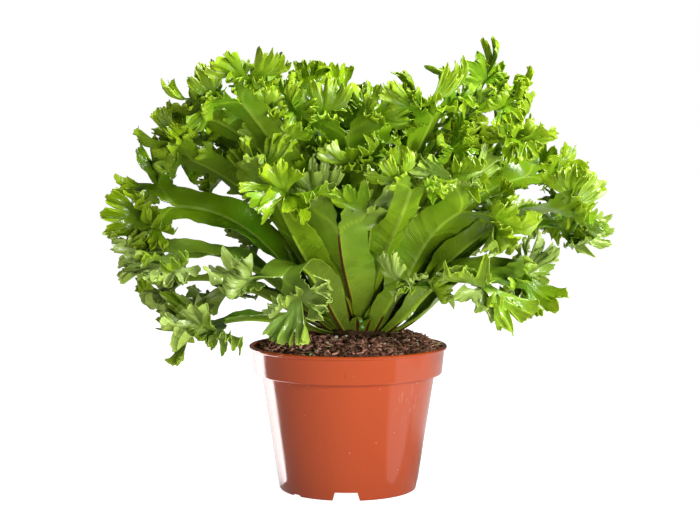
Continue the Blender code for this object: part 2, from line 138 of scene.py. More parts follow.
def add_notch(shape, azimuth, size):
    """A tapered slot through the foot, of a width at its top, a width at its foot and a height."""
    top_width, foot_width, height = size
    inner, outer = BASE_RADIUS - 6 * MM, BASE_RADIUS + 6 * MM
    below = -2 * MM
    flare = (foot_width - top_width) * -below / height
    turn = Matrix.Rotation(math.radians(azimuth), 4, "Z")
    half_foot, half_top = (foot_width + flare) / 2, top_width / 2
    section = ((-half_foot, below), (half_foot, below), (half_top, height), (-half_top, height))
    near = [shape.verts.new(turn @ Vector((inner, y, z))) for y, z in section]
    far = [shape.verts.new(turn @ Vector((outer, y, z))) for y, z in section]
    shape.faces.new(reversed(near))
    shape.faces.new(far)
    for index in range(4):
        after = (index + 1) % 4
        shape.faces.new((near[index], near[after], far[after], far[index]))


def pot_piece(finish):
    """The shell with its slots and drain holes cut."""
    ledge = POT_HEIGHT - COLLAR_HEIGHT
    floor_top = FLOOR_LIFT + WALL
    outline = [
        (0, floor_top, 0),
        (cone_radius(floor_top) - WALL, floor_top, 1.5 * MM),
        (BODY_TOP_RADIUS - WALL, ledge + WALL, 0.8 * MM),
        (COLLAR_FOOT_RADIUS - WALL, ledge + WALL, 0.8 * MM),
        (COLLAR_TOP_RADIUS - WALL, POT_HEIGHT, 0.5 * MM),
        (LIP_RADIUS, POT_HEIGHT, 0.9 * MM),
        (LIP_RADIUS, POT_HEIGHT - LIP_HEIGHT, 0.9 * MM),
        (COLLAR_TOP_RADIUS, POT_HEIGHT - LIP_HEIGHT, 0.7 * MM),
        (COLLAR_FOOT_RADIUS, ledge, 1.3 * MM),
        (BODY_TOP_RADIUS, ledge, 1.0 * MM),
        (BASE_RADIUS, 0, 1.8 * MM),
        (BASE_RADIUS - FOOT_WALL, 0, 0.6 * MM),
        (BASE_RADIUS - FOOT_WALL, FLOOR_LIFT, 0.6 * MM),
        (0, FLOOR_LIFT, 0),
    ]
    shell = mesh_of(turned_shape(rounded(outline), POT_SIDES), "nursery_pot")
    pot = new_piece("nursery_pot", shell, finish)

    cuts = bmesh.new()
    for azimuths, size in ((WIDE_NOTCH_AZIMUTHS, WIDE_NOTCH), (SMALL_NOTCH_AZIMUTHS, SMALL_NOTCH)):
        for azimuth in azimuths:
            add_notch(cuts, azimuth, size)
    for index in range(DRAIN_COUNT):
        centre = bearing(2 * math.pi * (index + 0.5) / DRAIN_COUNT) * DRAIN_CIRCLE
        centre.z = FLOOR_LIFT
        bmesh.ops.create_cone(
            cuts,
            cap_ends=True,
            segments=24,
            radius1=DRAIN_RADIUS,
            radius2=DRAIN_RADIUS,
            depth=6 * MM,
            matrix=Matrix.Translation(centre),
        )
    bmesh.ops.recalc_face_normals(cuts, faces=cuts.faces)
    cutter = bpy.data.objects.new("foot_cutters", mesh_of(cuts, "foot_cutters"))
    bpy.context.scene.collection.objects.link(cutter)
    cut = pot.modifiers.new("foot", "BOOLEAN")
    cut.operation = "DIFFERENCE"
    cut.object = cutter
    bpy.context.view_layer.update()
    graph = bpy.context.evaluated_depsgraph_get()
    pot.data = bpy.data.meshes.new_from_object(pot.evaluated_get(graph))
    pot.modifiers.clear()
    bpy.data.objects.remove(cutter)
    pot.data.shade_smooth()
    pot.data.set_sharp_from_angle(angle=math.radians(40))
    pot.data.transform(Matrix.Translation((POT_X, 0, 0)))
    return pot


class Nodes:
    """Adds nodes to one shader tree. Each input is a value or another node's output."""

    def __init__(self, tree):
        self.tree = tree

    def feed(self, value, socket):
        if isinstance(value, bpy.types.NodeSocket):
            self.tree.links.new(value, socket)
        elif socket.type == "RGBA":
            socket.default_value = (*value, 1)
        else:
            socket.default_value = value

    def add(self, kind, inputs, **settings):
        """A node's outputs, with its inputs given by name or index."""
        node = self.tree.nodes.new(kind)
        for name, value in settings.items():
            setattr(node, name, value)
        for socket, value in inputs.items():
            self.feed(value, node.inputs[socket])
        return node.outputs

    def place(self):
        return self.add("ShaderNodeTexCoord", {})["Object"]

    def attribute(self, name):
        return self.add("ShaderNodeAttribute", {}, attribute_name=name)["Fac"]

    def math(self, operation, *values):
        return self.add("ShaderNodeMath", dict(enumerate(values)), operation=operation)[0]

    def times(self, first, *others):
        for other in others:
            first = self.math("MULTIPLY", first, other)
        return first

    def remap(self, value, low, high, to_low=0.0, to_high=1.0):
        ends = {"From Min": low, "From Max": high, "To Min": to_low, "To Max": to_high}
        return self.add("ShaderNodeMapRange", {"Value": value, **ends})[0]

    def mix(self, share, low, high, blend="MIX"):
        """Between two colours by a share."""
        inputs = {0: share, 6: low, 7: high}
        return self.add("ShaderNodeMix", inputs, data_type="RGBA", blend_type=blend)[2]

    def scaled(self, vector, scale):
        return self.add("ShaderNodeVectorMath", {0: vector, 1: scale}, operation="MULTIPLY")[0]

    def distance(self, vector, point):
        ends = {0: vector, 1: point}
        return self.add("ShaderNodeVectorMath", ends, operation="DISTANCE")["Value"]

    def mottle(self, **values):
        return self.add("ShaderNodeGroup", values, node_tree=MOTTLE)["Patches"]

    def specks(self, **values):
        return self.add("ShaderNodeGroup", values, node_tree=SPECKS)["Specks"]

    def bump(self, shader, height, distance):
        made = self.add("ShaderNodeBump", {"Height": height, "Distance": distance})[0]
        self.feed(made, shader["Normal"])


def new_group(name, inputs, output):
    """A node group with float inputs and their defaults, and one float output."""
    group = bpy.data.node_groups.new(name, "ShaderNodeTree")
    for socket, default in inputs.items():
        made = group.interface.new_socket(socket, in_out="INPUT", socket_type="NodeSocketFloat")
        made.default_value = default
    group.interface.new_socket(output, in_out="OUTPUT", socket_type="NodeSocketFloat")
    given = group.nodes.new("NodeGroupInput").outputs
    return group, Nodes(group), given, group.nodes.new("NodeGroupOutput").inputs[output]


def mottle_group():
    """Cloudy patches from 0 to 1, at a scale in patches a metre, stretched along Z if asked."""
    inputs = {"Scale": 60, "Detail": 4, "Stretch": 1}
    group, nodes, given, out = new_group("mottle", inputs, "Patches")
    stretch = nodes.add("ShaderNodeCombineXYZ", {"X": 1, "Y": 1, "Z": given["Stretch"]})[0]
    place = nodes.scaled(nodes.place(), stretch)
    settings = {"Vector": place, "Scale": given["Scale"], "Detail": given["Detail"]}
    clouds = nodes.add("ShaderNodeTexNoise", settings)["Fac"]
    nodes.feed(nodes.remap(clouds, 0.3, 0.7), out)
    return group


def specks_group():
    """A mask of small round specks, at a scale in cells a metre, each of its own size."""
    inputs = {"Scale": 400, "Size": 0.15, "Share": 0.3}
    group, nodes, given, out = new_group("specks", inputs, "Specks")
    cells = nodes.add("ShaderNodeTexVoronoi", {"Vector": nodes.place(), "Scale": given["Scale"]})
    parts = nodes.add("ShaderNodeSeparateColor", {0: cells["Color"]})
    chosen = nodes.math("LESS_THAN", parts[0], given["Share"])
    inside = nodes.math("LESS_THAN", cells["Distance"], nodes.times(parts[1], given["Size"]))
    nodes.feed(nodes.times(inside, chosen), out)
    return group


MOTTLE = mottle_group()
SPECKS = specks_group()


def new_material(name, **sockets):
    """A Principled material with its steady values set, its nodes and its shader's inputs."""
    made = bpy.data.materials.new(name)
    made.use_nodes = True
    shader = made.node_tree.nodes["Principled BSDF"].inputs
    for socket, value in sockets.items():
        shader[socket.replace("_", " ")].default_value = value
    return made, Nodes(made.node_tree), shader


def plastic_finish():
    """Glossy plastic with faint flow, slanting scratches, a rubbed patch, a short mark and dust."""
    made, nodes, shader = new_material("terracotta_plastic", Specular_IOR_Level=0.5)
    flow = nodes.mottle(Scale=28, Detail=3, Stretch=0.35)
    colour = nodes.mix(0.75, nodes.mix(flow, TERRACOTTA, TERRACOTTA_DARK), TERRACOTTA)
    place = nodes.place()
    turn = {"Vector": place, "Rotation": (0, math.radians(38), 0), "Scale": (900, 900, 26)}
    slant = nodes.add("ShaderNodeMapping", turn)[0]
    scratch = nodes.add("ShaderNodeTexNoise", {"Vector": slant, "Scale": 1, "Detail": 2})["Fac"]
    patches = nodes.remap(nodes.mottle(Scale=35, Detail=1), 0.55, 0.95)
    scuffs = nodes.times(nodes.remap(scratch, 0.70, 0.78), patches)
    rubbed = nodes.remap(nodes.distance(place, SCUFFED_PLACE), 4 * MM, 15 * MM, 1, 0)
    scuffs = nodes.math("MAXIMUM", scuffs, nodes.times(nodes.remap(scratch, 0.58, 0.66), rubbed))
    colour = nodes.mix(nodes.times(scuffs, 0.55), colour, SCUFF)
    mark_place = Vector(MARK_PLACE) * Vector(MARK_SQUEEZE)
    from_mark = nodes.distance(nodes.scaled(place, MARK_SQUEEZE), mark_place)
    colour = nodes.mix(nodes.remap(from_mark, 1.6 * MM, 2.4 * MM, 0.6, 0), colour, MARK)
    dust = nodes.times(nodes.specks(Scale=420, Size=0.16, Share=0.06), 0.6)
    colour = nodes.mix(dust, colour, DUST)
    nodes.feed(colour, shader["Base Color"])
    rough = nodes.remap(nodes.mottle(Scale=90, Detail=5), 0, 1, 0.12, 0.18)
    nodes.feed(nodes.math("ADD", rough, nodes.times(scuffs, 0.25)), shader["Roughness"])
    height = nodes.math("SUBTRACT", nodes.times(nodes.mottle(Scale=240, Detail=2), 0.12), scuffs)
    nodes.bump(shader, nodes.math("ADD", height, nodes.times(flow, 4)), 0.02 * MM)
    return made


pot = pot_piece(plastic_finish())
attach(pot, "root")
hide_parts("pot")


# Soil: damp peat, a low loose mound that fills the pot to just under its lip and is heaped
# against the crown. It is a closed mass with a rough top.
SOIL_EDGE_DROP = 3.2 * MM
SOIL_MOUND = 11.5 * MM
SOIL_LUMP = 1.1 * MM
SOIL_SIDES = 150
SOIL_RINGS = 34
SOIL_FOOT_RADIUS = 44.5 * MM
CROWN_RADIUS = 23 * MM
PEAT = (0.075, 0.032, 0.015)
PEAT_DRY = (0.29, 0.125, 0.085)
GRIT = (0.22, 0.12, 0.07)


def soil_height(place, share):
    """Height of the soil at a point that lies this share of the way from the rim to the crown."""
    mound = SOIL_MOUND * math.sin(share * math.pi / 2) ** 0.8
    lump = noise.noise(Vector((place.x, place.y, 0)) / (11 * MM)) * SOIL_LUMP
    fine = noise.noise(Vector((place.x, place.y, 0.05)) / (5 * MM)) * SOIL_LUMP * 0.5
    return POT_HEIGHT - SOIL_EDGE_DROP + mound + (lump + fine) * min(1, share * 5)


def soil_place(angle, share, rough=0.0):
    """A point on the soil at an angle, this share of the way from the rim to the crown."""
    edge_radius = COLLAR_TOP_RADIUS - WALL - 0.3 * MM
    radius = edge_radius + (CROWN_RADIUS - edge_radius) * share
    place = Vector((POT_X * (1 - share) + radius * math.cos(angle), radius * math.sin(angle), 0))
    place.z = soil_height(place, share)
    crumbs = noise.turbulence(place / (3.2 * MM), 4, False) * 2.4 * MM - 1.2 * MM
    place.z += crumbs * rough
    return place


def soil_piece(finish):
    shape = bmesh.new()
    rings = []
    angles = [2 * math.pi * index / SOIL_SIDES for index in range(SOIL_SIDES)]
    for radius, height in ((SOIL_FOOT_RADIUS, 8 * MM), (54.6 * MM, 76 * MM), (58 * MM, 79 * MM)):
        points = []
        for angle in angles:
            points.append((POT_X + radius * math.cos(angle), radius * math.sin(angle), height))
        rings.append([shape.verts.new(point) for point in points])
    for step in range(SOIL_RINGS + 1):
        share = step / SOIL_RINGS
        rough = min(1, share * 8 + 0.3)
        rings.append([shape.verts.new(soil_place(angle, share, rough)) for angle in angles])
    for low, high in zip(rings, rings[1:]):
        for index in range(SOIL_SIDES):
            after = (index + 1) % SOIL_SIDES
            shape.faces.new((low[index], low[after], high[after], high[index]))
    shape.faces.new(reversed(rings[0]))
    shape.faces.new(rings[-1])
    mesh = mesh_of(shape, "peat")
    mesh.shade_smooth()
    return new_piece("peat", mesh, finish)


def peat_finish():
    made, nodes, shader = new_material("peat", Specular_IOR_Level=0.25, Roughness=0.9)
    crumbs = nodes.mottle(Scale=420, Detail=6)
    colour = nodes.mix(crumbs, PEAT, PEAT_DRY)
    grit = nodes.specks(Scale=900, Size=0.3, Share=0.12)
    colour = nodes.mix(nodes.times(grit, 0.7), colour, GRIT)
    nodes.feed(colour, shader["Base Color"])
    nodes.bump(shader, nodes.mottle(Scale=900, Detail=6), 0.9 * MM)
    return made


soil = soil_piece(peat_finish())
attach(soil, "root")
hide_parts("soil")


# Loose bits on the peat: crumbs of peat, chips of bark, root fibres, beads of slow-release feed and
# pale chips of stone. They lie on the mound, a little sunk in it, and crumbs are heaped where it
# meets the crown. Each kind is one piece.
def scatter(draw, near=0.03, far=0.97):
    """A random place on the soil, spread evenly over its area, and the share that it lies at."""
    share = 1 - math.sqrt(draw.uniform((1 - far) ** 2, (1 - near) ** 2))
    return soil_place(draw.uniform(0, 2 * math.pi), share), share


def ball(detail, radius=1):
    """The points and faces of a ball about the origin."""
    shape = bmesh.new()
    bmesh.ops.create_icosphere(shape, subdivisions=detail, radius=radius)
    points = [point.co.copy() for point in shape.verts]
    faces = [[corner.index for corner in face.verts] for face in shape.faces]
    shape.free()
    return points, faces


def lump(draw, place, size):
    """The points and faces of a rough lump at a place: a ball pushed in and out."""
    offset = Vector((draw.uniform(-50, 50), draw.uniform(-50, 50), draw.uniform(-50, 50)))
    squash = Vector((draw.uniform(0.7, 1.3), draw.uniform(0.6, 1.1), draw.uniform(0.45, 0.8)))
    turn = Matrix.Rotation(draw.uniform(0, 6.28), 3, "Z")
    turn = turn @ Matrix.Rotation(draw.uniform(-0.6, 0.6), 3, "X")
    points, faces = ball(1)
    pushes = [1 + 0.45 * noise.noise(point * 1.6 + offset) for point in points]
    points = [place + turn @ (point * squash * push * size) for point, push in zip(points, pushes)]
    return points, faces


def bits_piece(name, finish, bits, smooth=False):
    """Many small bits as one piece. Each bit is points, faces and a tone from 0 to 1."""
    points, faces, tones = [], [], []
    for bit_points, bit_faces, tone in bits:
        first = len(points)
        points += bit_points
        faces += [[corner + first for corner in face] for face in bit_faces]
        tones += [tone] * len(bit_points)
    mesh = bpy.data.meshes.new(name)
    mesh.from_pydata(points, [], faces)
    mesh.attributes.new("tone", "FLOAT", "POINT").data.foreach_set("value", tones)
    if smooth:
        mesh.shade_smooth()
    piece = new_piece(name, mesh, finish)
    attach(piece, "root")


def toned_finish(name, dark, pale, roughness, grain, depth):
    """A matt finish between two colours by each bit's own tone, with a fine grain."""
    made, nodes, shader = new_material(name, Roughness=roughness, Specular_IOR_Level=0.3)
    cloud = nodes.mottle(Scale=grain, Detail=5)
    share = nodes.math("ADD", nodes.times(nodes.attribute("tone"), 0.7), nodes.times(cloud, 0.3))
    nodes.feed(nodes.mix(share, dark, pale), shader["Base Color"])
    nodes.bump(shader, cloud, depth)
    return made


def heaped_place(draw):
    """A random place on the peat that lies against the crown's foot between the stalks."""
    angle, radius = draw.uniform(0, 2 * math.pi), CROWN_RADIUS * draw.uniform(0.9, 1.15)
    return Vector((radius * math.cos(angle), radius * math.sin(angle), draw.uniform(100, 103) * MM))


def peat_crumbs():
    draw = random.Random(11)
    bits = []
    for _ in range(300):
        place = heaped_place(draw)
        bits.append((*lump(draw, place, draw.uniform(0.7, 1.7) * MM), draw.random() ** 2))
    for _ in range(1100):
        place, share = scatter(draw)
        size = draw.uniform(0.5, 1.5) ** 2 * MM * (1.1 if share > 0.5 else 0.8)
        place.z += size * 0.25
        bits.append((*lump(draw, place, size), draw.random() ** 2))
    return bits


CHIP_OUTLINE = ((-1, -0.5), (-0.3, -1), (0.6, -0.8), (1, 0.1), (0.5, 1), (-0.6, 0.8))
CHIP_FLAWS = ((0.8, 1.1), (0.7, 1.1), (0.5, 1.2))


def bark_chips():
    draw = random.Random(12)
    lift = Vector((0, 0, 0.5 * MM))
    bits = []
    for _ in range(340):
        place, _ = scatter(draw)
        long = draw.uniform(2, 7) * MM
        wide = draw.uniform(1, 2.6) * MM
        thick = draw.uniform(0.4, 1) * MM
        tilt = draw.uniform(-0.5, 0.5) * draw.choice((1, 1, 2.4))
        turn = Matrix.Rotation(draw.uniform(0, 6.28), 3, "Z") @ Matrix.Rotation(tilt, 3, "Y")
        points = []
        for z in (-1, 1):
            for x, y in CHIP_OUTLINE:
                flaw = Vector([draw.uniform(low, high) for low, high in CHIP_FLAWS])
                corner = x * long / 2 * flaw.x, y * wide / 2 * flaw.y, z * thick / 2 * flaw.z
                points.append(place + lift + turn @ Vector(corner))
        faces = [(5, 4, 3, 2, 1, 0), (6, 7, 8, 9, 10, 11)]
        faces += [(k, (k + 1) % 6, (k + 1) % 6 + 6, k + 6) for k in range(6)]
        bits.append((points, faces, draw.random()))
    return bits


def fibre(draw, place, length, radius):
    """A thin bent tube that lies on the soil."""
    points, faces = [], []
    heading, steps, sides = draw.uniform(0, 6.28), 9, 5
    at = place.copy()
    bend = draw.uniform(-0.35, 0.35)
    for step in range(steps + 1):
        rise = draw.uniform(-0.25, 0.25)
        along = Vector((math.cos(heading), math.sin(heading), rise)).normalized()
        side = along.cross(Vector((0, 0, 1))).normalized()
        top = side.cross(along)
        taper = radius * (1 - 0.6 * step / steps)
        for k in range(sides):
            angle = 2 * math.pi * k / sides
            points.append(at + side * math.cos(angle) * taper + top * math.sin(angle) * taper)
        at = at + along * length / steps
        heading += bend + draw.uniform(-0.2, 0.2)
    for step in range(steps):
        for k in range(sides):
            after = (k + 1) % sides
            low, high = step * sides, (step + 1) * sides
            faces.append((low + k, high + k, high + after, low + after))
    faces.append(tuple(range(sides)))
    faces.append(tuple(reversed(range(steps * sides, (steps + 1) * sides))))
    return points, faces


def root_fibres():
    draw = random.Random(13)
    bits = []
    for _ in range(220):
        place, _ = scatter(draw, 0.04, 0.96)
        place.z += draw.uniform(0.6, 1.6) * MM
        length, radius = draw.uniform(3, 11) * MM, draw.uniform(0.12, 0.3) * MM
        bits.append((*fibre(draw, place, length, radius), draw.random()))
    return bits


def stone_chips():
    draw = random.Random(14)
    bits = []
    for _ in range(34):
        place, _ = scatter(draw)
        size = draw.uniform(0.5, 1.6) * MM
        place.z += size * 0.5
        bits.append((*lump(draw, place, size), draw.random()))
    return bits


def feed_beads():
    """Small round beads, most of them on the soil and two bigger ones by the crown's foot."""
    draw = random.Random(15)
    lift = Vector((0, 0, 0.8 * MM))
    beads = [(scatter(draw)[0], draw.random(), 1) for _ in range(14)]
    beads += [(Vector((0.3, -25.6, 112.4)) * MM, 1, 1.5), (Vector((1, -22.8, 108.2)) * MM, 1, 1.6)]
    bits = []
    for place, tone, scale in beads:
        points, faces = ball(2, scale * draw.uniform(0.7, 1.1) * MM)
        bits.append(([place + point + lift for point in points], faces, tone))
    return bits


bits_piece(
    "peat_crumbs",
    toned_finish("peat_crumbs", (0.035, 0.014, 0.008), (0.29, 0.125, 0.085), 0.9, 900, 0.3 * MM),
    peat_crumbs(),
)
bits_piece(
    "bark_chips",
    toned_finish("bark", (0.095, 0.033, 0.018), (0.58, 0.29, 0.20), 0.8, 500, 0.3 * MM),
    bark_chips(),
)
bits_piece(
    "root_fibres",
    toned_finish("root_fibre", (0.20, 0.10, 0.05), (0.55, 0.38, 0.22), 0.75, 700, 0.1 * MM),
    root_fibres(),
    smooth=True,
)
bits_piece(
    "feed_beads",
    toned_finish("feed_bead", (0.10, 0.30, 0.42), (0.27, 0.60, 0.16), 0.4, 600, 0.05 * MM),
    feed_beads(),
    smooth=True,
)
bits_piece(
    "stone_chips",
    toned_finish("pale_stone", (0.42, 0.38, 0.3), (0.8, 0.78, 0.72), 0.7, 600, 0.1 * MM),
    stone_chips(),
)


# Crown: the short upright rhizome, a squat brown dome with a lumpy top; the real one is covered
# with papery pointed scales, which are not built here. It stands in the peat, and every frond
# grows out of it.
CROWN_SHOULDER = 99 * MM
CROWN_DOME = 12 * MM
CROWN_FOOT = 80 * MM


def crown_piece(finish):
    outline = [
        Vector((0, CROWN_FOOT)),
        Vector((CROWN_RADIUS - MM, CROWN_FOOT)),
        Vector((CROWN_RADIUS - 0.5 * MM, CROWN_FOOT + MM)),
    ]
    for step in range(25):
        angle = math.pi / 2 * step / 24
        radius = CROWN_RADIUS * math.cos(angle) if step < 24 else 0
        outline.append(Vector((radius, CROWN_SHOULDER + CROWN_DOME * math.sin(angle))))
    shape = turned_shape(outline, 72)
    for point in shape.verts:
        if point.co.z > CROWN_FOOT + 2 * MM:
            point.co += point.normal * noise.noise(point.co / (4 * MM)) * 1.2 * MM
    mesh = mesh_of(shape, "rhizome")
    mesh.shade_smooth()
    return new_piece("rhizome", mesh, finish)


def rhizome_finish():
    made, nodes, shader = new_material("rhizome", Roughness=0.85, Specular_IOR_Level=0.3)
    cloud = nodes.mottle(Scale=500, Detail=5)
    colour = nodes.mix(cloud, (0.05, 0.025, 0.012), (0.15, 0.08, 0.035))
    nodes.feed(colour, shader["Base Color"])
    nodes.bump(shader, cloud, 0.5 * MM)
    return made


crown = crown_piece(rhizome_finish())
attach(crown, "root")
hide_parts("crown")


# Fronds: each is one leathery leaf. A narrow stalk widens into a strap along a raised brown rib,
# then forks into two arms, and each arm ends in two or three fans of pleated, frilled lobes with
# smaller fans out of their plane. Upper straps bear small fans along both margins too. A ring of
# short pointed leaves fills the gaps between the stalks. Every frond differs, by the seed at the
# end of its row. The rows give azimuth, reach of the fork and its height in mm, slope at the crown
# and at the fork in degrees, width in mm, crest length in mm, roll in degrees, share of the length
# that stays a narrow stalk and the seed.
FRONDS = [
    (184, 118, 186, 50, 2, 29, 46, -44, 0, 1),
    (198, 117, 158, 36, -2, 27, 42, -24, 0, 2),
    (235, 82, 147, 42, -38, 29, 43, 0, 0, 5),
    (206, 97, 114, 13, -10, 25, 43, 0, 0, 4),
    (170, 116, 136, 24, -6, 25, 42, 10, 0, 3),
    (324, 90, 144, 30, -16, 30, 50, 15, 0, 31),
    (299, 64, 138, 42, 8, 20, 28, 0, 0, 32),
    (256, 56, 170, 66, 74, 36, 48, 0, 0, 22),
    (230, 78, 188, 56, 58, 30, 46, 0, 0, 21),
    (322, 78, 184, 52, 26, 31, 44, -25, 0, 26),
    (332, 108, 190, 48, 16, 33, 50, -20, 0.1, 27),
    (356, 123, 180, 44, 4, 28, 46, 40, 0.1, 29),
    (342, 116, 160, 32, 2, 26, 44, 35, 0.1, 30),
    (282, 46, 204, 78, 54, 30, 36, 0, 0, 24),
    (302, 70, 204, 66, 30, 30, 40, 0, 0.1, 25),
    (10, 110, 204, 54, 12, 29, 42, 24, 0.15, 28),
    (180, 112, 214, 58, 18, 30, 44, 35, 0.15, 7),
    (192, 104, 230, 64, 32, 28, 42, 30, 0.15, 8),
    (168, 96, 240, 68, 40, 28, 40, 25, 0.2, 9),
    (203, 84, 242, 72, 46, 28, 42, 25, 0.2, 10),
    (220, 66, 230, 74, 52, 28, 42, 10, 0.2, 11),
    (248, 44, 224, 80, 62, 28, 42, 0, 0.25, 13),
    (316, 54, 234, 78, 60, 28, 42, 0, 0.25, 16),
    (330, 64, 212, 68, 44, 27, 40, 0, 0.25, 55),
    (327, 86, 226, 68, 44, 29, 44, 15, 0.2, 20),
    (343, 104, 234, 64, 34, 28, 42, 25, 0.2, 19),
    (3, 75, 246, 72, 52, 29, 46, -10, 0.25, 18),
    (148, 74, 244, 74, 56, 28, 42, 0, 0.25, 12),
    (116, 60, 244, 76, 60, 28, 42, 0, 0.25, 14),
    (84, 52, 242, 80, 64, 28, 42, 0, 0.25, 15),
    (48, 66, 246, 76, 58, 28, 42, 0, 0.25, 17),
    (138, 98, 206, 56, 22, 28, 44, 0, 0.15, 34),
    (108, 70, 220, 62, 36, 28, 44, 0, 0.15, 35),
    (76, 68, 212, 62, 32, 28, 44, 0, 0.15, 36),
    (38, 100, 214, 60, 28, 28, 44, 0, 0.15, 37),
    (124, 79, 156, 34, 2, 27, 44, 0, 0.1, 38),
    (92, 70, 168, 41, 10, 27, 42, 0, 0.1, 39),
    (60, 76, 150, 30, 0, 27, 44, 0, 0.1, 40),
    (30, 110, 176, 42, 10, 27, 44, 0, 0.1, 41),
    (150, 104, 126, 20, -8, 26, 42, 0, 0, 42),
    (76, 74, 120, 16, -10, 26, 40, 0, 0, 43),
]
GAP = 0.3 * MM
SPINE_STEPS = 48
ARM_STEPS = 12
LOBES = 3
LOBE_CUT = 0.18
ATTEMPTS = 900
FIT = 0.6 * MM

STALK_WIDTH = 11 * MM
BROWN_RIB_WIDTH = 35 * MM
BLADE_THICKNESS = 0.5 * MM
BLADE_HALF = 0.2 * MM
RIM_THICKNESS = 0.36 * MM
RIB_THICKNESS = 2 * MM
RIB_HALF = 1.5 * MM
KEEL_FOLD = 0.20
KEEL_EXTRA = 0.32
WAVE_HEIGHT = 1.5 * MM
WAVE_LENGTH = 42 * MM
FLUTTER_HEIGHT = 0.35 * MM
FLUTTER_LENGTH = 11 * MM
EDGE_SWAY = 0.5 * MM
EDGE_LENGTH = 17 * MM
VEIN_GAP = 1.6 * MM

# Columns of a blade from margin to margin. Those beside the rib's are set at its flanks.
BLADE_COLUMNS = np.array([-1, -0.84, -0.62, -0.36, 0, 0, 0, 0.36, 0.62, 0.84, 1])
RIB_COLUMN = 5
RIB_GROOVE = 0.15 * MM
ARM_ROWS = 10
ARM_CELLS = 12
ARM_PLEAT = 0.9 * MM
ARM_TOOTH = 1.1 * MM

# Rings of a fan: each reaches to a share of its radius, in so many rows of so many cells.
FAN_ZONES = ((0.30, 2, 10), (0.66, 3, 22), (0.84, 2, 44), (1.0, 3, 96))
SIDE_FAN_ZONES = ((0.35, 2, 8), (0.70, 2, 16), (0.86, 2, 32), (1.0, 3, 64))
MARGIN_FAN_ZONES = ((0.4, 1, 6), (0.75, 2, 14), (1.0, 2, 32))
CUT_DEPTH = 0.28
CUT_WIDTH = 0.07
FAN_WAVES = 0.16
FAN_PLEATS = 0.02
FAN_FRILL = 0.055
TIGHT_SHARE = 0.2
ROLL_START = 0.76
UPPER_STALK = 0.15
BASAL_COUNT = 22
BASAL_ROWS = 8


@dataclass
class Place:
    """A place on a frond with its directions: along it, across it and out of its upper face."""

    place: Vector
    along: Vector
    across: Vector

    @property
    def up(self):
        return self.along.cross(self.across)

    def turned(self, pitch=0.0, yaw=0.0, roll=0.0):
        """Pitch lifts the tip, yaw swings it sideways and roll turns the blade about its rib."""
        along, across = self.along, self.across
        if pitch:
            along = Matrix.Rotation(-pitch, 3, across) @ along
        if yaw:
            normal = along.cross(across)
            swing = Matrix.Rotation(yaw, 3, normal)
            along, across = swing @ along, swing @ across
        if roll:
            across = Matrix.Rotation(roll, 3, along) @ across
        return Place(self.place.copy(), along.normalized(), across.normalized())

    def moved(self, distance):
        return Place(self.place + self.along * distance, self.along, self.across)

    def points(self, across, up=0.0, along=0.0):
        """Points given by arrays of distances across, out of and along the leaf."""
        across, up, along = np.broadcast_arrays(across, up, along)
        frame_axes = np.array([self.across, self.up, self.along])
        return np.array(self.place) + np.stack([across, up, along], axis=-1) @ frame_axes


@dataclass
class Fan:
    radius: float
    spread: float
    cup: float
    pleat: float
    lifts: list
    pitch: float
    yaw: float
    roll: float


@dataclass
class Arm:
    length: float
    flare: float
    pitch: float
    yaw: float
    roll: float
    curl: float
    fans: list


@dataclass
class Frond:
    spine: list
    length: float
    width: float
    stalk: float
    wave_phase: tuple
    arms: list


def crown_seat(azimuth, slope):
    """Where a frond leaves the crown's dome, and the dome's outward normal there."""
    tilt = math.radians(26 + 0.66 * slope)
    outward = bearing(azimuth)
    across, up = math.cos(tilt), math.sin(tilt)
    size = math.hypot(CROWN_RADIUS * across, CROWN_DOME * up)
    place = Vector((0, 0, CROWN_SHOULDER)) + outward * (CROWN_RADIUS**2 * across / size)
    place.z += CROWN_DOME**2 * up / size
    return place, outward * across + Vector((0, 0, up))


def spine_of(azimuth, reach, height, launch, nod, roll):
    """Places along a cubic curve from the crown to the fork."""
    azimuth, launch, nod = (math.radians(angle) for angle in (azimuth, launch, nod))
    outward = bearing(azimuth)
    sideways = Vector((-outward.y, outward.x, 0))
    up = Vector((0, 0, 1))
    seat, normal = crown_seat(azimuth, math.degrees(launch))
    start_way = outward * math.cos(launch) + up * math.sin(launch)
    end_way = outward * math.cos(nod) + up * math.sin(nod)
    lean = abs(start_way.cross(normal).length)
    start = seat + normal * (GAP + lean * RIB_THICKNESS / 2)
    end = Vector((0, 0, height)) + outward * reach
    pull = 0.38 * (end - start).length
    a, b, c, d = start, start + start_way * pull, end - end_way * pull, end
    spine = []
    for step in range(SPINE_STEPS + 1):
        t = step / SPINE_STEPS
        s = 1 - t
        place = s**3 * a + 3 * s * s * t * b + 3 * s * t * t * c + t**3 * d
        along = s * s * (b - a) + 2 * s * t * (c - b) + t * t * (d - c)
        spine.append(Place(place, along.normalized(), sideways).turned(roll=roll * t * (2 - t)))
    return spine


def plan_fans(draw, size, lean):
    """The two or three fans that end one arm, side by side and pitched apart in turn."""
    count = draw.choice((2, 2, 3))
    step = draw.uniform(74, 88) if count == 2 else draw.uniform(46, 56)
    fans = []
    for index in range(count):
        side = 2 * index / (count - 1) - 1
        spread = math.radians(step / 2 * draw.uniform(0.9, 1.08))
        fans.append(
            Fan(
                radius=size * draw.uniform(0.50, 0.64),
                spread=spread,
                cup=draw.uniform(-0.2, 0.45),
                pleat=spread * draw.uniform(0.12, 0.2) * draw.choice((-1, 1)),
                lifts=[spread * draw.uniform(-0.3, 0.3) for _ in range(LOBES)],
                pitch=math.radians(draw.uniform(4, 28) * lean * (-1) ** index),
                yaw=math.radians(side * step * (count - 1) / 2),
                roll=math.radians(side * draw.uniform(-20, 35)),
            )
        )
    return fans


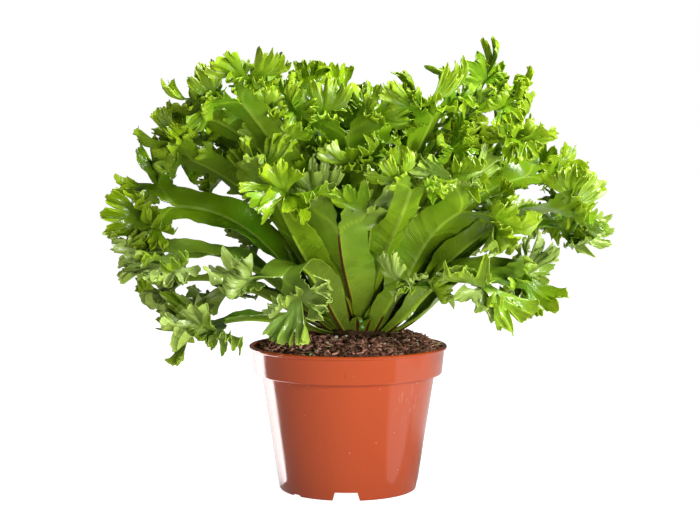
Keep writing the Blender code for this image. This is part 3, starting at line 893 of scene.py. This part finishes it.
def plan_arms(draw, size):
    """Two arms, splayed from the fork, one pitched up and one down."""
    arms = []
    lean = draw.choice((-1, 1))
    for side in (-1, 1):
        arms.append(
            Arm(
                length=size * draw.uniform(0.36, 0.48),
                flare=draw.uniform(1.4, 1.7),
                pitch=math.radians(draw.uniform(4, 20) * side * lean),
                yaw=math.radians(side * draw.uniform(28, 38)),
                roll=math.radians(side * draw.uniform(-20, 40)),
                curl=math.radians(draw.uniform(-35, 30)),
                fans=plan_fans(draw, size, side * lean),
            )
        )
    return arms


def plan_frond(row, attempt):
    """The frond of one row. Later attempts lie further from the row's own numbers."""
    azimuth, reach, height, launch, nod, width, crest, roll, stalk, seed = row
    draw = random.Random(1000 * seed + attempt)
    shift = min(attempt / 80, 2)
    azimuth += draw.uniform(-9, 9) * shift
    launch += draw.uniform(-6, 6) * shift
    nod += draw.uniform(-12, 12) * shift
    reach += draw.uniform(-12, 12) * shift
    height += draw.uniform(-10, 10) * shift
    shrink = 1 - 0.35 * min(attempt / 350, 1)
    roll += draw.uniform(-8, 8)
    spine = spine_of(azimuth, reach * MM, height * MM, launch, nod, math.radians(roll))
    length = sum((b.place - a.place).length for a, b in zip(spine, spine[1:]))
    return Frond(
        spine=spine,
        length=length,
        width=width * MM * shrink,
        stalk=stalk,
        wave_phase=(draw.uniform(0, 2 * math.pi), draw.uniform(0, 2 * math.pi)),
        arms=plan_arms(draw, crest * MM * shrink),
    )


def fan_shape(fan, start_width, share, x):
    """Distances across, out of and along a fan at shares of its radius and x from -1 to 1."""
    turn = LOBES * (x + 1) / 2
    lobe = np.abs(np.sin(np.pi * turn))
    lift = np.array(fan.lifts)[np.minimum(turn.astype(int), LOBES - 1)] * lobe
    radius = fan.radius * share * (1 - LOBE_CUT * (1 - lobe) * share)
    angle = x * fan.spread * np.minimum(1, 0.35 + share)
    side = x * start_width / 2 * (1 - share) + radius * np.sin(angle)
    crease = np.cos(2 * np.pi * turn)
    rise = radius * share * (fan.cup + lift + fan.pleat * crease)
    return side, rise, radius * np.cos(angle)


def arm_end(arm, origin):
    """The place of an arm's fork, past its turn away from the blade and its curl."""
    place = origin.turned(arm.pitch, arm.yaw, arm.roll)
    for _ in range(ARM_STEPS):
        place = place.moved(arm.length / ARM_STEPS).turned(pitch=arm.curl / ARM_STEPS)
    return place


def fork_places(end, width, count):
    """Where each of the parts that grow from a row begins."""
    for index in range(count):
        middle = ((2 * index + 1) / count - 1) * width / 2
        yield Place(Vector(end.points(middle)), end.along, end.across)


def crest_tips(frond):
    """The corners of all the fans' rims, as the solid has them."""
    tips = []
    x = np.linspace(-1, 1, 2 * LOBES + 1)
    for arm, origin in zip(frond.arms, fork_places(frond.spine[-1], frond.width, 2)):
        end = arm_end(arm, origin)
        width = frond.width / 2 * arm.flare
        for fan, start in zip(arm.fans, fork_places(end, width, len(arm.fans))):
            place = start.turned(fan.pitch, fan.yaw, fan.roll)
            tips.append(place.points(*fan_shape(fan, width / len(arm.fans), 1.0, x)))
    return np.concatenate(tips)


def placed_frond(row, node):
    """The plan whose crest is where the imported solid's is."""
    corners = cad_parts[node].data.vertices
    tree = kdtree.KDTree(len(corners))
    for corner in corners:
        tree.insert(corner.co, corner.index)
    tree.balance()
    for attempt in range(ATTEMPTS):
        frond = plan_frond(row, attempt)
        if all(tree.find(tip)[2] < FIT for tip in crest_tips(frond)):
            return frond
    raise ValueError(f"no plan fits {node}")


class Leaf:
    """A frond's middle surface, row by row, with what its colours depend on at each point."""

    LOOKS = ("growth", "rim", "rib", "vein", "tone", "brown")

    def __init__(self):
        self.rows, self.thickness, self.looks, self.faces = [], [], [], []
        self.count = 0
        self.tone = 0.0
        self.brown = 0.0

    def row(self, points, thickness, growth, rim, rib, vein):
        count = len(points)
        self.rows.append(points)
        self.thickness.append(np.broadcast_to(thickness, count))
        looks = (growth, rim, rib, vein, self.tone, self.brown)
        self.looks.append(np.stack([np.broadcast_to(look, count) for look in looks]))
        self.count += count
        return list(range(self.count - count, self.count))

    def bridge(self, low, high):
        """Fills between two rows, whose counts may differ."""
        if len(low) == len(high):
            self.faces += zip(low, high, high[1:], low[1:])
            return
        i, j = 0, 0
        low_end, high_end = len(low) - 1, len(high) - 1
        while i < low_end or j < high_end:
            if j == high_end or (i < low_end and (i + 1) / low_end <= (j + 1) / high_end):
                self.faces.append((low[i], high[j], low[i + 1], low[i + 1]))
                i += 1
            else:
                self.faces.append((low[i], high[j], high[j + 1], high[j + 1]))
                j += 1

    def solid(self):
        """Points and faces of the sheet thickened into a closed solid, and its looks."""
        points = np.concatenate(self.rows)
        faces = np.array(self.faces)
        thickness = np.concatenate(self.thickness)[:, None]
        a, b, c, d = (points[faces[:, k]] for k in range(4))
        face_normals = np.cross(c - a, d - b)
        normals = np.zeros_like(points)
        for k in range(4):
            np.add.at(normals, faces[:, k], face_normals)
        normals /= np.linalg.norm(normals, axis=1, keepdims=True) + 1e-12
        upper = points + normals * BLADE_HALF
        lower = points - normals * (thickness - BLADE_HALF)
        edges = np.concatenate([faces[:, (k, (k + 1) % 4)] for k in range(4)])
        edges = edges[edges[:, 0] != edges[:, 1]]
        codes = edges[:, 0] * self.count + edges[:, 1]
        mirrored = edges[:, 1] * self.count + edges[:, 0]
        border = edges[~np.isin(codes, mirrored)]
        a, b = border[:, 0], border[:, 1]
        rim = np.stack([b, a, a + self.count, b + self.count], axis=1)
        every = np.concatenate([faces, faces[:, ::-1] + self.count, rim])
        looks = np.concatenate(self.looks, axis=1)
        return np.concatenate([upper, lower]), every, np.concatenate([looks, looks], axis=1)


def smooth(t, low=0.0, high=1.0):
    t = np.clip((t - low) / (high - low), 0, 1)
    return t * t * (3 - 2 * t)


def ripple(draw, x, waves, low, high):
    """A sum of a few waves over x from -1 to 1, each with its own count, phase and share."""
    total = np.zeros_like(x)
    for _ in range(waves):
        count = draw.uniform(low, high)
        total += draw.uniform(0.5, 1) * np.sin(np.pi * count * x + draw.uniform(0, 2 * np.pi))
    return total / waves


def blade_width(frond, share):
    """Full width of the strap at a share of its length: a stalk, then the full blade."""
    rise = min(max(share - frond.stalk, 0) / (0.7 - frond.stalk), 1)
    swell = rise * (2 - rise)
    return STALK_WIDTH + (frond.width - STALK_WIDTH) * swell


def grow_blade(leaf, frond, draw):
    """Grows the strap from the crown to the fork. Gives its last row's indexes and points."""
    flutter = [draw.uniform(0, 2 * math.pi) for _ in range(4)]
    brown_end = 1.3 if frond.width > BROWN_RIB_WIDTH else draw.uniform(0.14, 0.4)
    row = None
    for step, place in enumerate(frond.spine):
        share = step / SPINE_STEPS
        half = blade_width(frond, share) / 2
        x = BLADE_COLUMNS.copy()
        x[RIB_COLUMN - 1], x[RIB_COLUMN + 1] = -RIB_HALF / half, RIB_HALF / half
        along = share * frond.length
        turns = 2 * math.pi * along / WAVE_LENGTH
        phases = np.where(x > 0, frond.wave_phase[1], frond.wave_phase[0])
        wave = WAVE_HEIGHT * min(1, share * 2) * np.sin(turns + phases) * np.abs(x) ** 3
        quick = np.where(x > 0, flutter[0], flutter[1]) + along / FLUTTER_LENGTH * 2 * math.pi
        wave += FLUTTER_HEIGHT * min(1, share * 2) * np.sin(quick) * np.abs(x) ** 4
        sway = along / EDGE_LENGTH * 2 * math.pi + np.where(x > 0, flutter[2], flutter[3])
        edge = EDGE_SWAY * np.sin(sway)
        side = x * half + np.sign(x) * edge * np.abs(x) ** 6 * share
        keel = KEEL_FOLD + KEEL_EXTRA * math.sin(math.pi * share) ** 2
        fold = keel * half * (np.sqrt(x * x + 0.01) - 0.1)
        fold[RIB_COLUMN] -= RIB_GROOVE
        points = place.points(side, fold + wave)
        rib = np.zeros(len(x))
        rib[RIB_COLUMN] = 1
        thickness = np.full(len(x), BLADE_THICKNESS)
        thickness[RIB_COLUMN] += (1.6 - 0.9 * share) * MM
        thickness[[0, -1]] = RIM_THICKNESS
        rim = np.zeros(len(x))
        rim[[0, -1]] = 0.6
        vein = (along - 0.7 * np.abs(side)) / VEIN_GAP
        leaf.brown = 1 - float(smooth(share, 0.7 * brown_end, brown_end))
        made = leaf.row(points, thickness, 0.6 * share, rim, rib, vein)
        if row:
            leaf.bridge(row, made)
        row = made
    return row, points


def grow_arm(leaf, frond, arm, origin, root, root_points, draw):
    """An arm from half of the blade's last row to its own fork, and the fans that it bears."""
    end = arm_end(arm, origin)
    width = frond.width / 2 * arm.flare
    reach = (end.place - origin.place).length
    steps = np.linalg.norm(np.diff(root_points, axis=0), axis=1)
    root_u = np.concatenate([[0], np.cumsum(steps)])
    root_u = 2 * root_u / root_u[-1] - 1
    u = np.linspace(-1, 1, ARM_CELLS + 1)
    start = np.stack([np.interp(u, root_u, root_points[:, k]) for k in range(3)], axis=1)
    finish = end.points(u * width / 2, KEEL_FOLD * np.abs(u) * width / 2)
    start_way = np.array(origin.along) * reach
    end_way = np.array(end.along) * reach
    outwards = np.array(end.across)
    upwards = np.array(end.up)
    tooth_phase = draw.uniform(0, 6.28), draw.uniform(0, 6.28)
    pleats = ripple(draw, u, 2, 4, 7)
    row = root
    for step in range(1, ARM_ROWS + 1):
        t = step / ARM_ROWS
        points = (
            start * (2 * t**3 - 3 * t**2 + 1)
            + start_way * (t**3 - 2 * t**2 + t)
            + finish * (3 * t**2 - 2 * t**3)
            + end_way * (t**3 - t**2)
        )
        teeth = math.sin(t * 17 + tooth_phase[0]), math.sin(t * 19 + tooth_phase[1])
        tooth = np.where(u < 0, *teeth)
        jut = np.sign(u) * np.abs(u) ** 8 * tooth * ARM_TOOTH * math.sin(math.pi * t)
        points = points + jut[:, None] * outwards + (pleats * ARM_PLEAT * t * t)[:, None] * upwards
        rim = 0.6 * (np.abs(u) > 0.99)
        line = -math.copysign(1 - smooth(t, 0, 0.8), arm.yaw)
        rib = 0.6 * math.sqrt(1 - t) * np.clip(1 - np.abs(u - line) / 0.17, 0, 1)
        leaf.brown *= 0.4
        thickness = BLADE_THICKNESS + 0.35 * MM * (1 - t) * (1 - np.abs(u))
        made = leaf.row(points, thickness, 0.6 + 0.15 * t, rim, rib, u * 5)
        leaf.bridge(row, made)
        row = made
    count = len(arm.fans)
    for index, (fan, place) in enumerate(zip(arm.fans, fork_places(end, width, count))):
        part = slice(index * ARM_CELLS // count, (index + 1) * ARM_CELLS // count + 1)
        grow_fan(leaf, fan, place, width / count, row[part], points[part], FAN_ZONES, draw)
    size = sum(fan.radius for fan in arm.fans) / count
    for side_fan, across in plan_side_fans(draw, size):
        foot = Place(Vector(end.points(across * width / 2)), end.along, end.across)
        foot = foot.moved(-0.12 * size)
        grow_side_fan(leaf, side_fan, foot, 0.22 * width, draw, SIDE_FAN_ZONES)


def plan_side_fans(draw, size):
    """The smaller fans of an arm's end, tilted out of the plane of the others, and their places."""
    for lean, across in ((1, -0.35), (-1, 0.35), (draw.choice((-1, 1)), 0)):
        fan = Fan(
            radius=size * draw.uniform(0.62, 0.88),
            spread=math.radians(draw.uniform(42, 62)),
            cup=draw.uniform(-0.2, 0.3),
            pleat=draw.uniform(0.08, 0.16),
            lifts=[draw.uniform(-0.25, 0.25) for _ in range(LOBES)],
            pitch=math.radians(lean * draw.uniform(26, 62)),
            yaw=math.radians(draw.uniform(-20, 20) + across * 70),
            roll=math.radians(draw.uniform(-40, 40)),
        )
        yield fan, across


def grow_side_fan(leaf, fan, origin, width, draw, zones):
    """A fan that starts on its own narrow row, sunk in the arm or blade."""
    u = np.linspace(-1, 1, 5)
    points = origin.points(u * width / 2)
    root = leaf.row(points, BLADE_THICKNESS, 0.7, 0, 0, u * 2)
    grow_fan(leaf, fan, origin, width, root, points, zones, draw)


def grow_fan(leaf, fan, origin, start_width, root, root_points, zones, draw):
    """A pleated fan with cut lobes, a finely toothed rim, and an edge that ruffles and curls."""
    place = origin.turned(fan.pitch, fan.yaw, fan.roll)
    age = leaf.tone
    leaf.tone = age + draw.uniform(-0.25, 0.35)
    forward = np.array(origin.along)
    root_u = np.linspace(-1, 1, len(root_points))
    seeds = [draw.randrange(10**6) for _ in range(6)]
    tight = draw.random() < TIGHT_SHARE
    row = root
    begun = 0.0
    for zone_end, rows, cells in zones:
        x = np.linspace(-1, 1, cells + 1)
        start = np.stack([np.interp(x, root_u, root_points[:, k]) for k in range(3)], axis=1)
        turn = LOBES * (x + 1) / 2
        to_cut = np.minimum(np.abs(turn - 1), np.abs(turn - 2))
        parts = random.Random(seeds[0])
        small = parts.uniform(2.2, 3.2)
        notch = np.abs(np.sin(np.pi * turn * small + parts.uniform(0, 3)))
        teeth = np.abs(np.sin(np.pi * turn * small * parts.uniform(2.7, 3.4) + parts.uniform(0, 3)))
        deep = 0.6 + 0.4 * ripple(random.Random(seeds[1]), x, 3, 5, 13)
        uneven = 0.06 * ripple(random.Random(seeds[1]), x, 3, 3, 9)
        reach = 1.06 + uneven - CUT_DEPTH * np.exp(-((to_cut / CUT_WIDTH) ** 2))
        reach = reach - 0.10 * deep * (1 - notch**0.7) - 0.07 * deep * (1 - teeth)
        curl = 0.3 + 1.6 * ripple(random.Random(seeds[2]), x, 3, 2, 7)
        if tight:
            curl = curl * 2 + 2.4
        waves = ripple(random.Random(seeds[3]), x, 3, 3, 7)
        frill = ripple(random.Random(seeds[4]), x, 3, 9, 17)
        pleats = ripple(random.Random(seeds[5]), x, 2, 6, 12)
        for step in range(1, rows + 1):
            share = begun + (zone_end - begun) * step / rows
            full = share * (1 + (reach - 1) * share**1.5)
            side, rise, ahead = fan_shape(fan, start_width, full, x)
            rise = rise + fan.radius * FAN_WAVES * smooth(share, 0.35, 1) * waves
            rise = rise + fan.radius * FAN_PLEATS * smooth(share, 0.1, 0.6) * pleats
            rise = rise + fan.radius * FAN_FRILL * smooth(share, 0.6, 1) * frill
            rolled = max(0.0, (share - ROLL_START) / (1 - ROLL_START))
            strip = (1 - ROLL_START) * fan.radius
            bend = np.where(np.abs(curl) < 0.05, 0.05, curl)
            draw_in = strip * (np.sin(bend * rolled) / bend - rolled)
            angle = x * fan.spread
            side = side + draw_in * np.sin(angle)
            ahead = ahead + draw_in * np.cos(angle)
            rise = rise + strip * (1 - np.cos(bend * rolled)) / bend
            blend = smooth(share, 0, 0.5)
            points = place.points(side, rise, ahead)
            points = (1 - blend) * (start + forward * fan.radius * share) + blend * points
            edge = np.maximum(smooth(share, 0.9, 1), 0.6 * (np.abs(x) > 0.99))
            thickness = BLADE_THICKNESS + (RIM_THICKNESS - BLADE_THICKNESS) * share
            made = leaf.row(points, thickness, 0.75 + 0.25 * share, edge, 0, x * 11)
            leaf.bridge(row, made)
            row = made
        begun = zone_end
    leaf.tone = age


def grow_margin_fans(leaf, frond, draw):
    """Small fans along both margins of an upper blade, closer together towards its fork."""
    for side in (-1, 1):
        for share in (0.70, 0.79, 0.87, 0.94):
            share += draw.uniform(-0.03, 0.03)
            place = frond.spine[round(share * SPINE_STEPS)]
            half = blade_width(frond, share) / 2
            middle = Vector(place.points(side * half * 0.9, KEEL_FOLD * half))
            start = Place(middle, place.along, place.across)
            fan = Fan(
                radius=draw.uniform(9, 15) * MM,
                spread=math.radians(draw.uniform(40, 58)),
                cup=draw.uniform(-0.3, 0.4),
                pleat=draw.uniform(-0.1, 0.1),
                lifts=[draw.uniform(-0.3, 0.3) for _ in range(LOBES)],
                pitch=math.radians(draw.uniform(-35, 55)),
                yaw=math.radians(side * draw.uniform(15, 50)),
                roll=math.radians(draw.uniform(-40, 40)),
            )
            grow_side_fan(leaf, fan, start, 5 * MM, draw, MARGIN_FAN_ZONES)


def frond_piece(name, frond, seed, finish):
    """One whole frond. The lower its fork, the higher its tone: the finish shows that as age, as
    painted shade and, on the oldest crests, as a painted sheen.
    """
    draw = random.Random(seed)
    leaf = Leaf()
    end = frond.spine[-1]
    leaf.tone = 0.75 * float(smooth(-end.place.z, -0.24, -0.13)) + 0.25 * draw.random()
    row, points = grow_blade(leaf, frond, draw)
    middle = len(row) // 2
    halves = slice(middle + 1), slice(middle, None)
    for arm, origin, half in zip(frond.arms, fork_places(end, frond.width, 2), halves):
        grow_arm(leaf, frond, arm, origin, row[half], points[half], draw)
    if frond.stalk >= UPPER_STALK:
        grow_margin_fans(leaf, frond, draw)
    return new_piece(name, leaf_mesh(name, leaf), finish)


# Greens along a frond, from the stalk (0) to the fans' rims (1). The tips' yellow is the leaf's
# own; the darker stalk, blades and fan bases are partly painted shade of the crowded inside.
GROWTH_GREENS_AND_SHADE = (
    (0.0, (0.15, 0.21, 0.005)),
    (0.3, (0.14, 0.25, 0.002)),
    (0.62, (0.15, 0.28, 0.002)),
    (0.80, (0.16, 0.31, 0.003)),
    (0.91, (0.30, 0.49, 0.006)),
    (1.0, (0.43, 0.60, 0.012)),
)
CLOUD_GREEN = (0.08, 0.17, 0.008)
COOL_GREEN = (0.06, 0.27, 0.004)
# Tone colours: the dark one is partly painted shade, the pale one partly painted sheen.
AGED_SHADED_GREEN = (0.08, 0.17, 0.006)
FADED_SHEEN_GREEN = (0.34, 0.44, 0.13)
DULL_GREEN = (0.15, 0.21, 0.04)
UNDER_AND_SHINE_THROUGH_GREEN = (0.25, 0.38, 0.015)
FLANK_GREEN = (0.34, 0.49, 0.02)
RIB_GREEN = (0.26, 0.40, 0.03)
RIB_BROWN = (0.075, 0.018, 0.006)
RIB_UNDER = (0.22, 0.38, 0.05)
DOT_GREEN = (0.55, 0.62, 0.3)
RIM_AND_SHINE_THROUGH_GREEN = (0.55, 0.70, 0.10)
FORK_GROWTH = 0.68


def leaf_finish():
    """Green from the stalk's dark to the tips' yellow, partly painted shade, with ribs, side veins
    and a paler rim.
    """
    made, nodes, shader = new_material("fern_leaf", Specular_IOR_Level=0.5)
    growth, rim, rib, vein, tone, brown, under = map(nodes.attribute, (*Leaf.LOOKS, "under"))
    # Painted shade in part: the ramp darkens the stalk, the blades and each fan's base.
    ramp = nodes.tree.nodes.new("ShaderNodeValToRGB")
    nodes.feed(growth, ramp.inputs["Fac"])
    stops = ramp.color_ramp.elements
    stops.remove(stops[1])
    stops[0].position, stops[0].color = GROWTH_GREENS_AND_SHADE[0][0], (*GROWTH_GREENS_AND_SHADE[0][1], 1)
    for position, green in GROWTH_GREENS_AND_SHADE[1:]:
        stops.new(position).color = (*green, 1)
    cloud = nodes.times(nodes.mottle(Scale=70, Detail=4), 0.25)
    colour = nodes.mix(cloud, ramp.outputs["Color"], CLOUD_GREEN)
    cool = nodes.remap(nodes.mottle(Scale=22, Detail=2), 0.5, 0.9, 0, 0.6)
    colour = nodes.mix(cool, colour, COOL_GREEN)
    # Tone darkens middle fronds, partly as painted shade on inner and lower fronds, and pales the
    # oldest crests, partly as a painted sheen.
    fade_and_sheen = nodes.times(nodes.remap(tone, 0.62, 0.95), nodes.remap(growth, 0.4, 0.8, 0.3, 1))
    aged_shade_and_sheen = nodes.mix(fade_and_sheen, AGED_SHADED_GREEN, FADED_SHEEN_GREEN)
    age = nodes.times(tone, nodes.remap(growth, 0.5, 0.8, 0.15, 0.7))
    colour = nodes.mix(age, colour, aged_shade_and_sheen)
    dull = nodes.times(nodes.remap(tone, 0.6, 0.9), nodes.remap(growth, 0.35, 0.6, 0.6, 0))
    colour = nodes.mix(dull, colour, DULL_GREEN)
    # The paler underside: partly the leaf's own paler back, partly painted light shining through
    # the leaf.
    colour = nodes.mix(nodes.times(under, 0.3), colour, UNDER_AND_SHINE_THROUGH_GREEN)

    # Side veins sway, come and go in patches, and fade out where the blade forks.
    vein = nodes.math("ADD", vein, nodes.times(nodes.mottle(Scale=130, Detail=2), 0.9))
    wave = nodes.math("SINE", nodes.times(vein, 2 * math.pi))
    from_fork = nodes.math("ABSOLUTE", nodes.math("SUBTRACT", growth, FORK_GROWTH))
    calm = nodes.remap(from_fork, 0.09, 0.25)
    patchy = nodes.remap(nodes.mottle(Scale=110, Detail=3), 0, 1, 0.2, 1)
    veins = nodes.times(nodes.remap(wave, 0.3, 1), calm, patchy)
    shade = nodes.remap(nodes.times(wave, calm, patchy), -1, 1, 0.82, 1.12)
    colour = nodes.mix(1, colour, shade, "MULTIPLY")

    colour = nodes.mix(nodes.remap(rib, 0.02, 0.2, 0, 0.45), colour, FLANK_GREEN)
    rib_colour = nodes.mix(brown, RIB_GREEN, RIB_BROWN)
    rib_colour = nodes.mix(under, RIB_UNDER, rib_colour)
    colour = nodes.mix(nodes.remap(rib, 0.3, 0.5), colour, rib_colour)
    dots = nodes.times(nodes.specks(Scale=1100, Size=0.22, Share=0.02), 0.5)
    colour = nodes.mix(dots, colour, DOT_GREEN)
    # The paler rim: partly the margin's own colour, partly painted light shining through the thin
    # edge.
    colour = nodes.mix(nodes.times(nodes.math("POWER", rim, 2), 0.06), colour, RIM_AND_SHINE_THROUGH_GREEN)
    nodes.feed(colour, shader["Base Color"])

    rough = nodes.remap(nodes.mottle(Scale=160, Detail=4), 0, 1, 0.14, 0.29)
    nodes.feed(nodes.math("ADD", rough, nodes.times(under, 0.12)), shader["Roughness"])
    grain = nodes.mottle(Scale=700, Detail=3)
    height = nodes.math("ADD", nodes.times(veins, 0.9), nodes.times(grain, 0.3))
    along = {"W": vein, "Scale": 0.3, "Detail": 1}
    folds = nodes.add("ShaderNodeTexNoise", along, noise_dimensions="1D")["Fac"]
    folded = nodes.times(calm, patchy, folds)
    nodes.bump(shader, nodes.math("ADD", height, nodes.times(folded, 9)), 0.12 * MM)
    return made


LEAF_FINISH = leaf_finish()


def basal_leaves():
    """Short pointed leaves that wrap the crown between the stalks, as one piece."""
    draw = random.Random(21)
    leaf = Leaf()
    for index in range(BASAL_COUNT):
        azimuth = 2 * math.pi * (index + draw.uniform(-0.3, 0.3)) / BASAL_COUNT
        lift = math.radians(draw.uniform(38, 78))
        outward = bearing(azimuth)
        sideways = Vector((-outward.y, outward.x, 0))
        seat, normal = crown_seat(azimuth, math.degrees(lift))
        way = outward * math.cos(lift) + Vector((0, 0, math.sin(lift)))
        place = Place(seat - way * 2 * MM, way, sideways)
        length, width = draw.uniform(16, 30) * MM, draw.uniform(9, 12) * MM
        bend = math.radians(draw.uniform(-25, 5)) / BASAL_ROWS
        leaf.tone = draw.uniform(0.5, 1)
        leaf.brown = 1.0
        row = None
        for step in range(BASAL_ROWS + 1):
            share = step / BASAL_ROWS
            half = width / 2 * (1 - share**3) + 0.3 * MM
            x = np.linspace(-1, 1, 7)
            points = place.points(x * half, 0.3 * half * np.abs(x))
            rim = 0.6 * (np.abs(x) > 0.99)
            rib = 1 - np.minimum(1, np.abs(x) * 3)
            made = leaf.row(points, BLADE_THICKNESS, 0.25 * share, rim, rib, x * 2)
            if row:
                leaf.bridge(row, made)
            row = made
            place = place.moved(length / BASAL_ROWS).turned(pitch=bend)
    return leaf


def leaf_mesh(name, leaf):
    """The leaf's solid as a mesh that carries its looks, and 1 on its underside."""
    points, faces, looks = leaf.solid()
    corners = [tuple(dict.fromkeys(face)) for face in faces.tolist()]
    mesh = bpy.data.meshes.new(name)
    mesh.from_pydata(points.tolist(), [], corners)
    for look, values in zip(Leaf.LOOKS, looks):
        mesh.attributes.new(look, "FLOAT", "POINT").data.foreach_set("value", values)
    under = np.repeat((0.0, 1.0), len(points) // 2)
    mesh.attributes.new("under", "FLOAT", "POINT").data.foreach_set("value", under)
    mesh.shade_smooth()
    mesh.set_sharp_from_angle(angle=math.radians(75))
    return mesh


basal = new_piece("basal_leaves", leaf_mesh("basal_leaves", basal_leaves()), LEAF_FINISH)
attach(basal, "root")
for index, row in enumerate(FRONDS, start=1):
    node = f"frond_{index:02d}"
    frond = frond_piece(f"leaf_{index:02d}", placed_frond(row, node), row[-1], LEAF_FINISH)
    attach(frond, "root")
    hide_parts(node)


# Studio: a lit white table that runs on into a white surround. The plant has a soft light overhead
# to its right, one at its right in front and a weak one low in front. The pot has a front light of
# its own, and glowing cards on the table that only its gloss shows: they give it the bright edge
# on its left, the pale band on its right and an even sheen between.
def soft_light(name, place, aim, size, power):
    light = bpy.data.lights.new(name, "AREA")
    light.shape = "RECTANGLE"
    light.size, light.size_y = size
    light.energy = power
    lamp = bpy.data.objects.new(name, light)
    lamp.location = place
    lamp.rotation_euler = (Vector(aim) - Vector(place)).to_track_quat("-Z", "Y").to_euler()
    lamp.visible_camera = False
    bpy.context.scene.collection.objects.link(lamp)
    return lamp


def seen_white(nodes, dim, shine):
    """A strength of 1 to the camera, less to what it lights and as given in reflections."""
    path = nodes.add("ShaderNodeLightPath", {})
    lit = nodes.remap(path["Is Glossy Ray"], 0, 1, dim, shine)
    return nodes.math("MAXIMUM", lit, nodes.remap(path["Is Camera Ray"], 0, 1, 0, 1))


def table_finish():
    made, nodes, shader = new_material("lit_table", Roughness=0.9, Specular_IOR_Level=0)
    nodes.feed((0.5, 0.5, 0.5), shader["Base Color"])
    nodes.feed((1, 1, 1), shader["Emission Color"])
    nodes.feed(seen_white(nodes, 0.30, 0.12), shader["Emission Strength"])
    return made


table_mesh = bpy.data.meshes.new("table")
table_mesh.from_pydata([(-6, -4, 0), (6, -4, 0), (6, 8, 0), (-6, 8, 0)], [], [(0, 1, 2, 3)])
new_piece("table", table_mesh, table_finish())

world = bpy.data.worlds.new("studio")
world.use_nodes = True
surround = world.node_tree.nodes["Background"].inputs
world_nodes = Nodes(world.node_tree)
world_nodes.feed((1, 1, 1), surround["Color"])
world_nodes.feed(seen_white(world_nodes, 0.02, 0.10), surround["Strength"])
bpy.context.scene.world = world

soft_light("overhead", (0.35, -0.1, 1.05), (0, 0, 0.15), (0.28, 0.24), 17)
front = soft_light("front", (0.95, -0.8, 0.42), (0, 0, 0.16), (0.2, 0.2), 15.5)
low_front = soft_light("low_front", (0.3, -1.15, 0.1), (0.04, 0, 0.12), (0.4, 0.2), 6.2)
pot_front = soft_light("pot_front", (0.65, -1.05, 0.5), (0, 0, 0.05), (0.3, 0.3), 12)
pot_front.visible_glossy = False

pot_only = bpy.data.collections.new("pot_only")
pot_only.objects.link(pot)
all_but_pot = bpy.data.collections.new("all_but_pot")
all_but_pot.objects.link(pot)
all_but_pot.collection_objects[0].light_linking.link_state = "EXCLUDE"
front.light_linking.receiver_collection = low_front.light_linking.receiver_collection = all_but_pot
pot_front.light_linking.receiver_collection = pot_only


def card_finish():
    made, nodes, shader = new_material("glowing_card", Roughness=1, Specular_IOR_Level=0)
    nodes.feed((0, 0, 0), shader["Base Color"])
    nodes.feed((1, 1, 1), shader["Emission Color"])
    nodes.feed(nodes.attribute("glow"), shader["Emission Strength"])
    return made


def sector_card(name, apex, reach, glows):
    """A sector on the table about a point, with its glow at each azimuth, seen only in the pot."""
    mesh = bpy.data.meshes.new(name)
    points, values = [], []
    for azimuth, glow in glows:
        for radius in (8 * MM, reach):
            points.append(Vector(apex) + bearing(math.radians(azimuth)) * radius)
            values.append(glow)
    faces = [(k, k + 1, k + 3, k + 2) for k in range(0, len(points) - 2, 2)]
    mesh.from_pydata(points, [], faces)
    mesh.attributes.new("glow", "FLOAT", "POINT").data.foreach_set("value", values)
    card = new_piece(name, mesh, CARD_FINISH)
    card.visible_camera = card.visible_shadow = False
    card.visible_diffuse = card.visible_transmission = False
    card.light_linking.receiver_collection = pot_only


CARD_FINISH = card_finish()
LEFT_GLOWS = (
    (84, 0.8),
    (90, 0.85),
    (100, 1.35),
    (110, 2.2),
    (120, 3.5),
    (130, 5.5),
    (140, 8),
    (150, 9),
)
RIGHT_GLOWS = ((-33, 1.45), (15, 1.25))
FRONT_GLOWS = (*((azimuth, 0.5) for azimuth in range(150, 331, 30)), (360, 0.3))
sector_card("left_card", (-0.052, -0.02, 0.003), 1.5, LEFT_GLOWS)
sector_card("right_card", (0.024, -0.04, 0.003), 0.26, RIGHT_GLOWS)
sector_card("front_card", (POT_X, 0, 0.001), 1.5, FRONT_GLOWS)

camera_data = bpy.data.cameras.new("camera")
camera_data.lens = 86.5
camera_data.sensor_width = 36
camera = bpy.data.objects.new("camera", camera_data)
camera.location = (POT_X, -1.1, 0.232)
aim = Vector((POT_X + 1.3 * MM, 0, 0.149))
camera.rotation_euler = (aim - camera.location).to_track_quat("-Z", "Y").to_euler()
bpy.context.scene.collection.objects.link(camera)
bpy.context.scene.camera = camera
bpy.context.scene.view_settings.view_transform = "Standard"
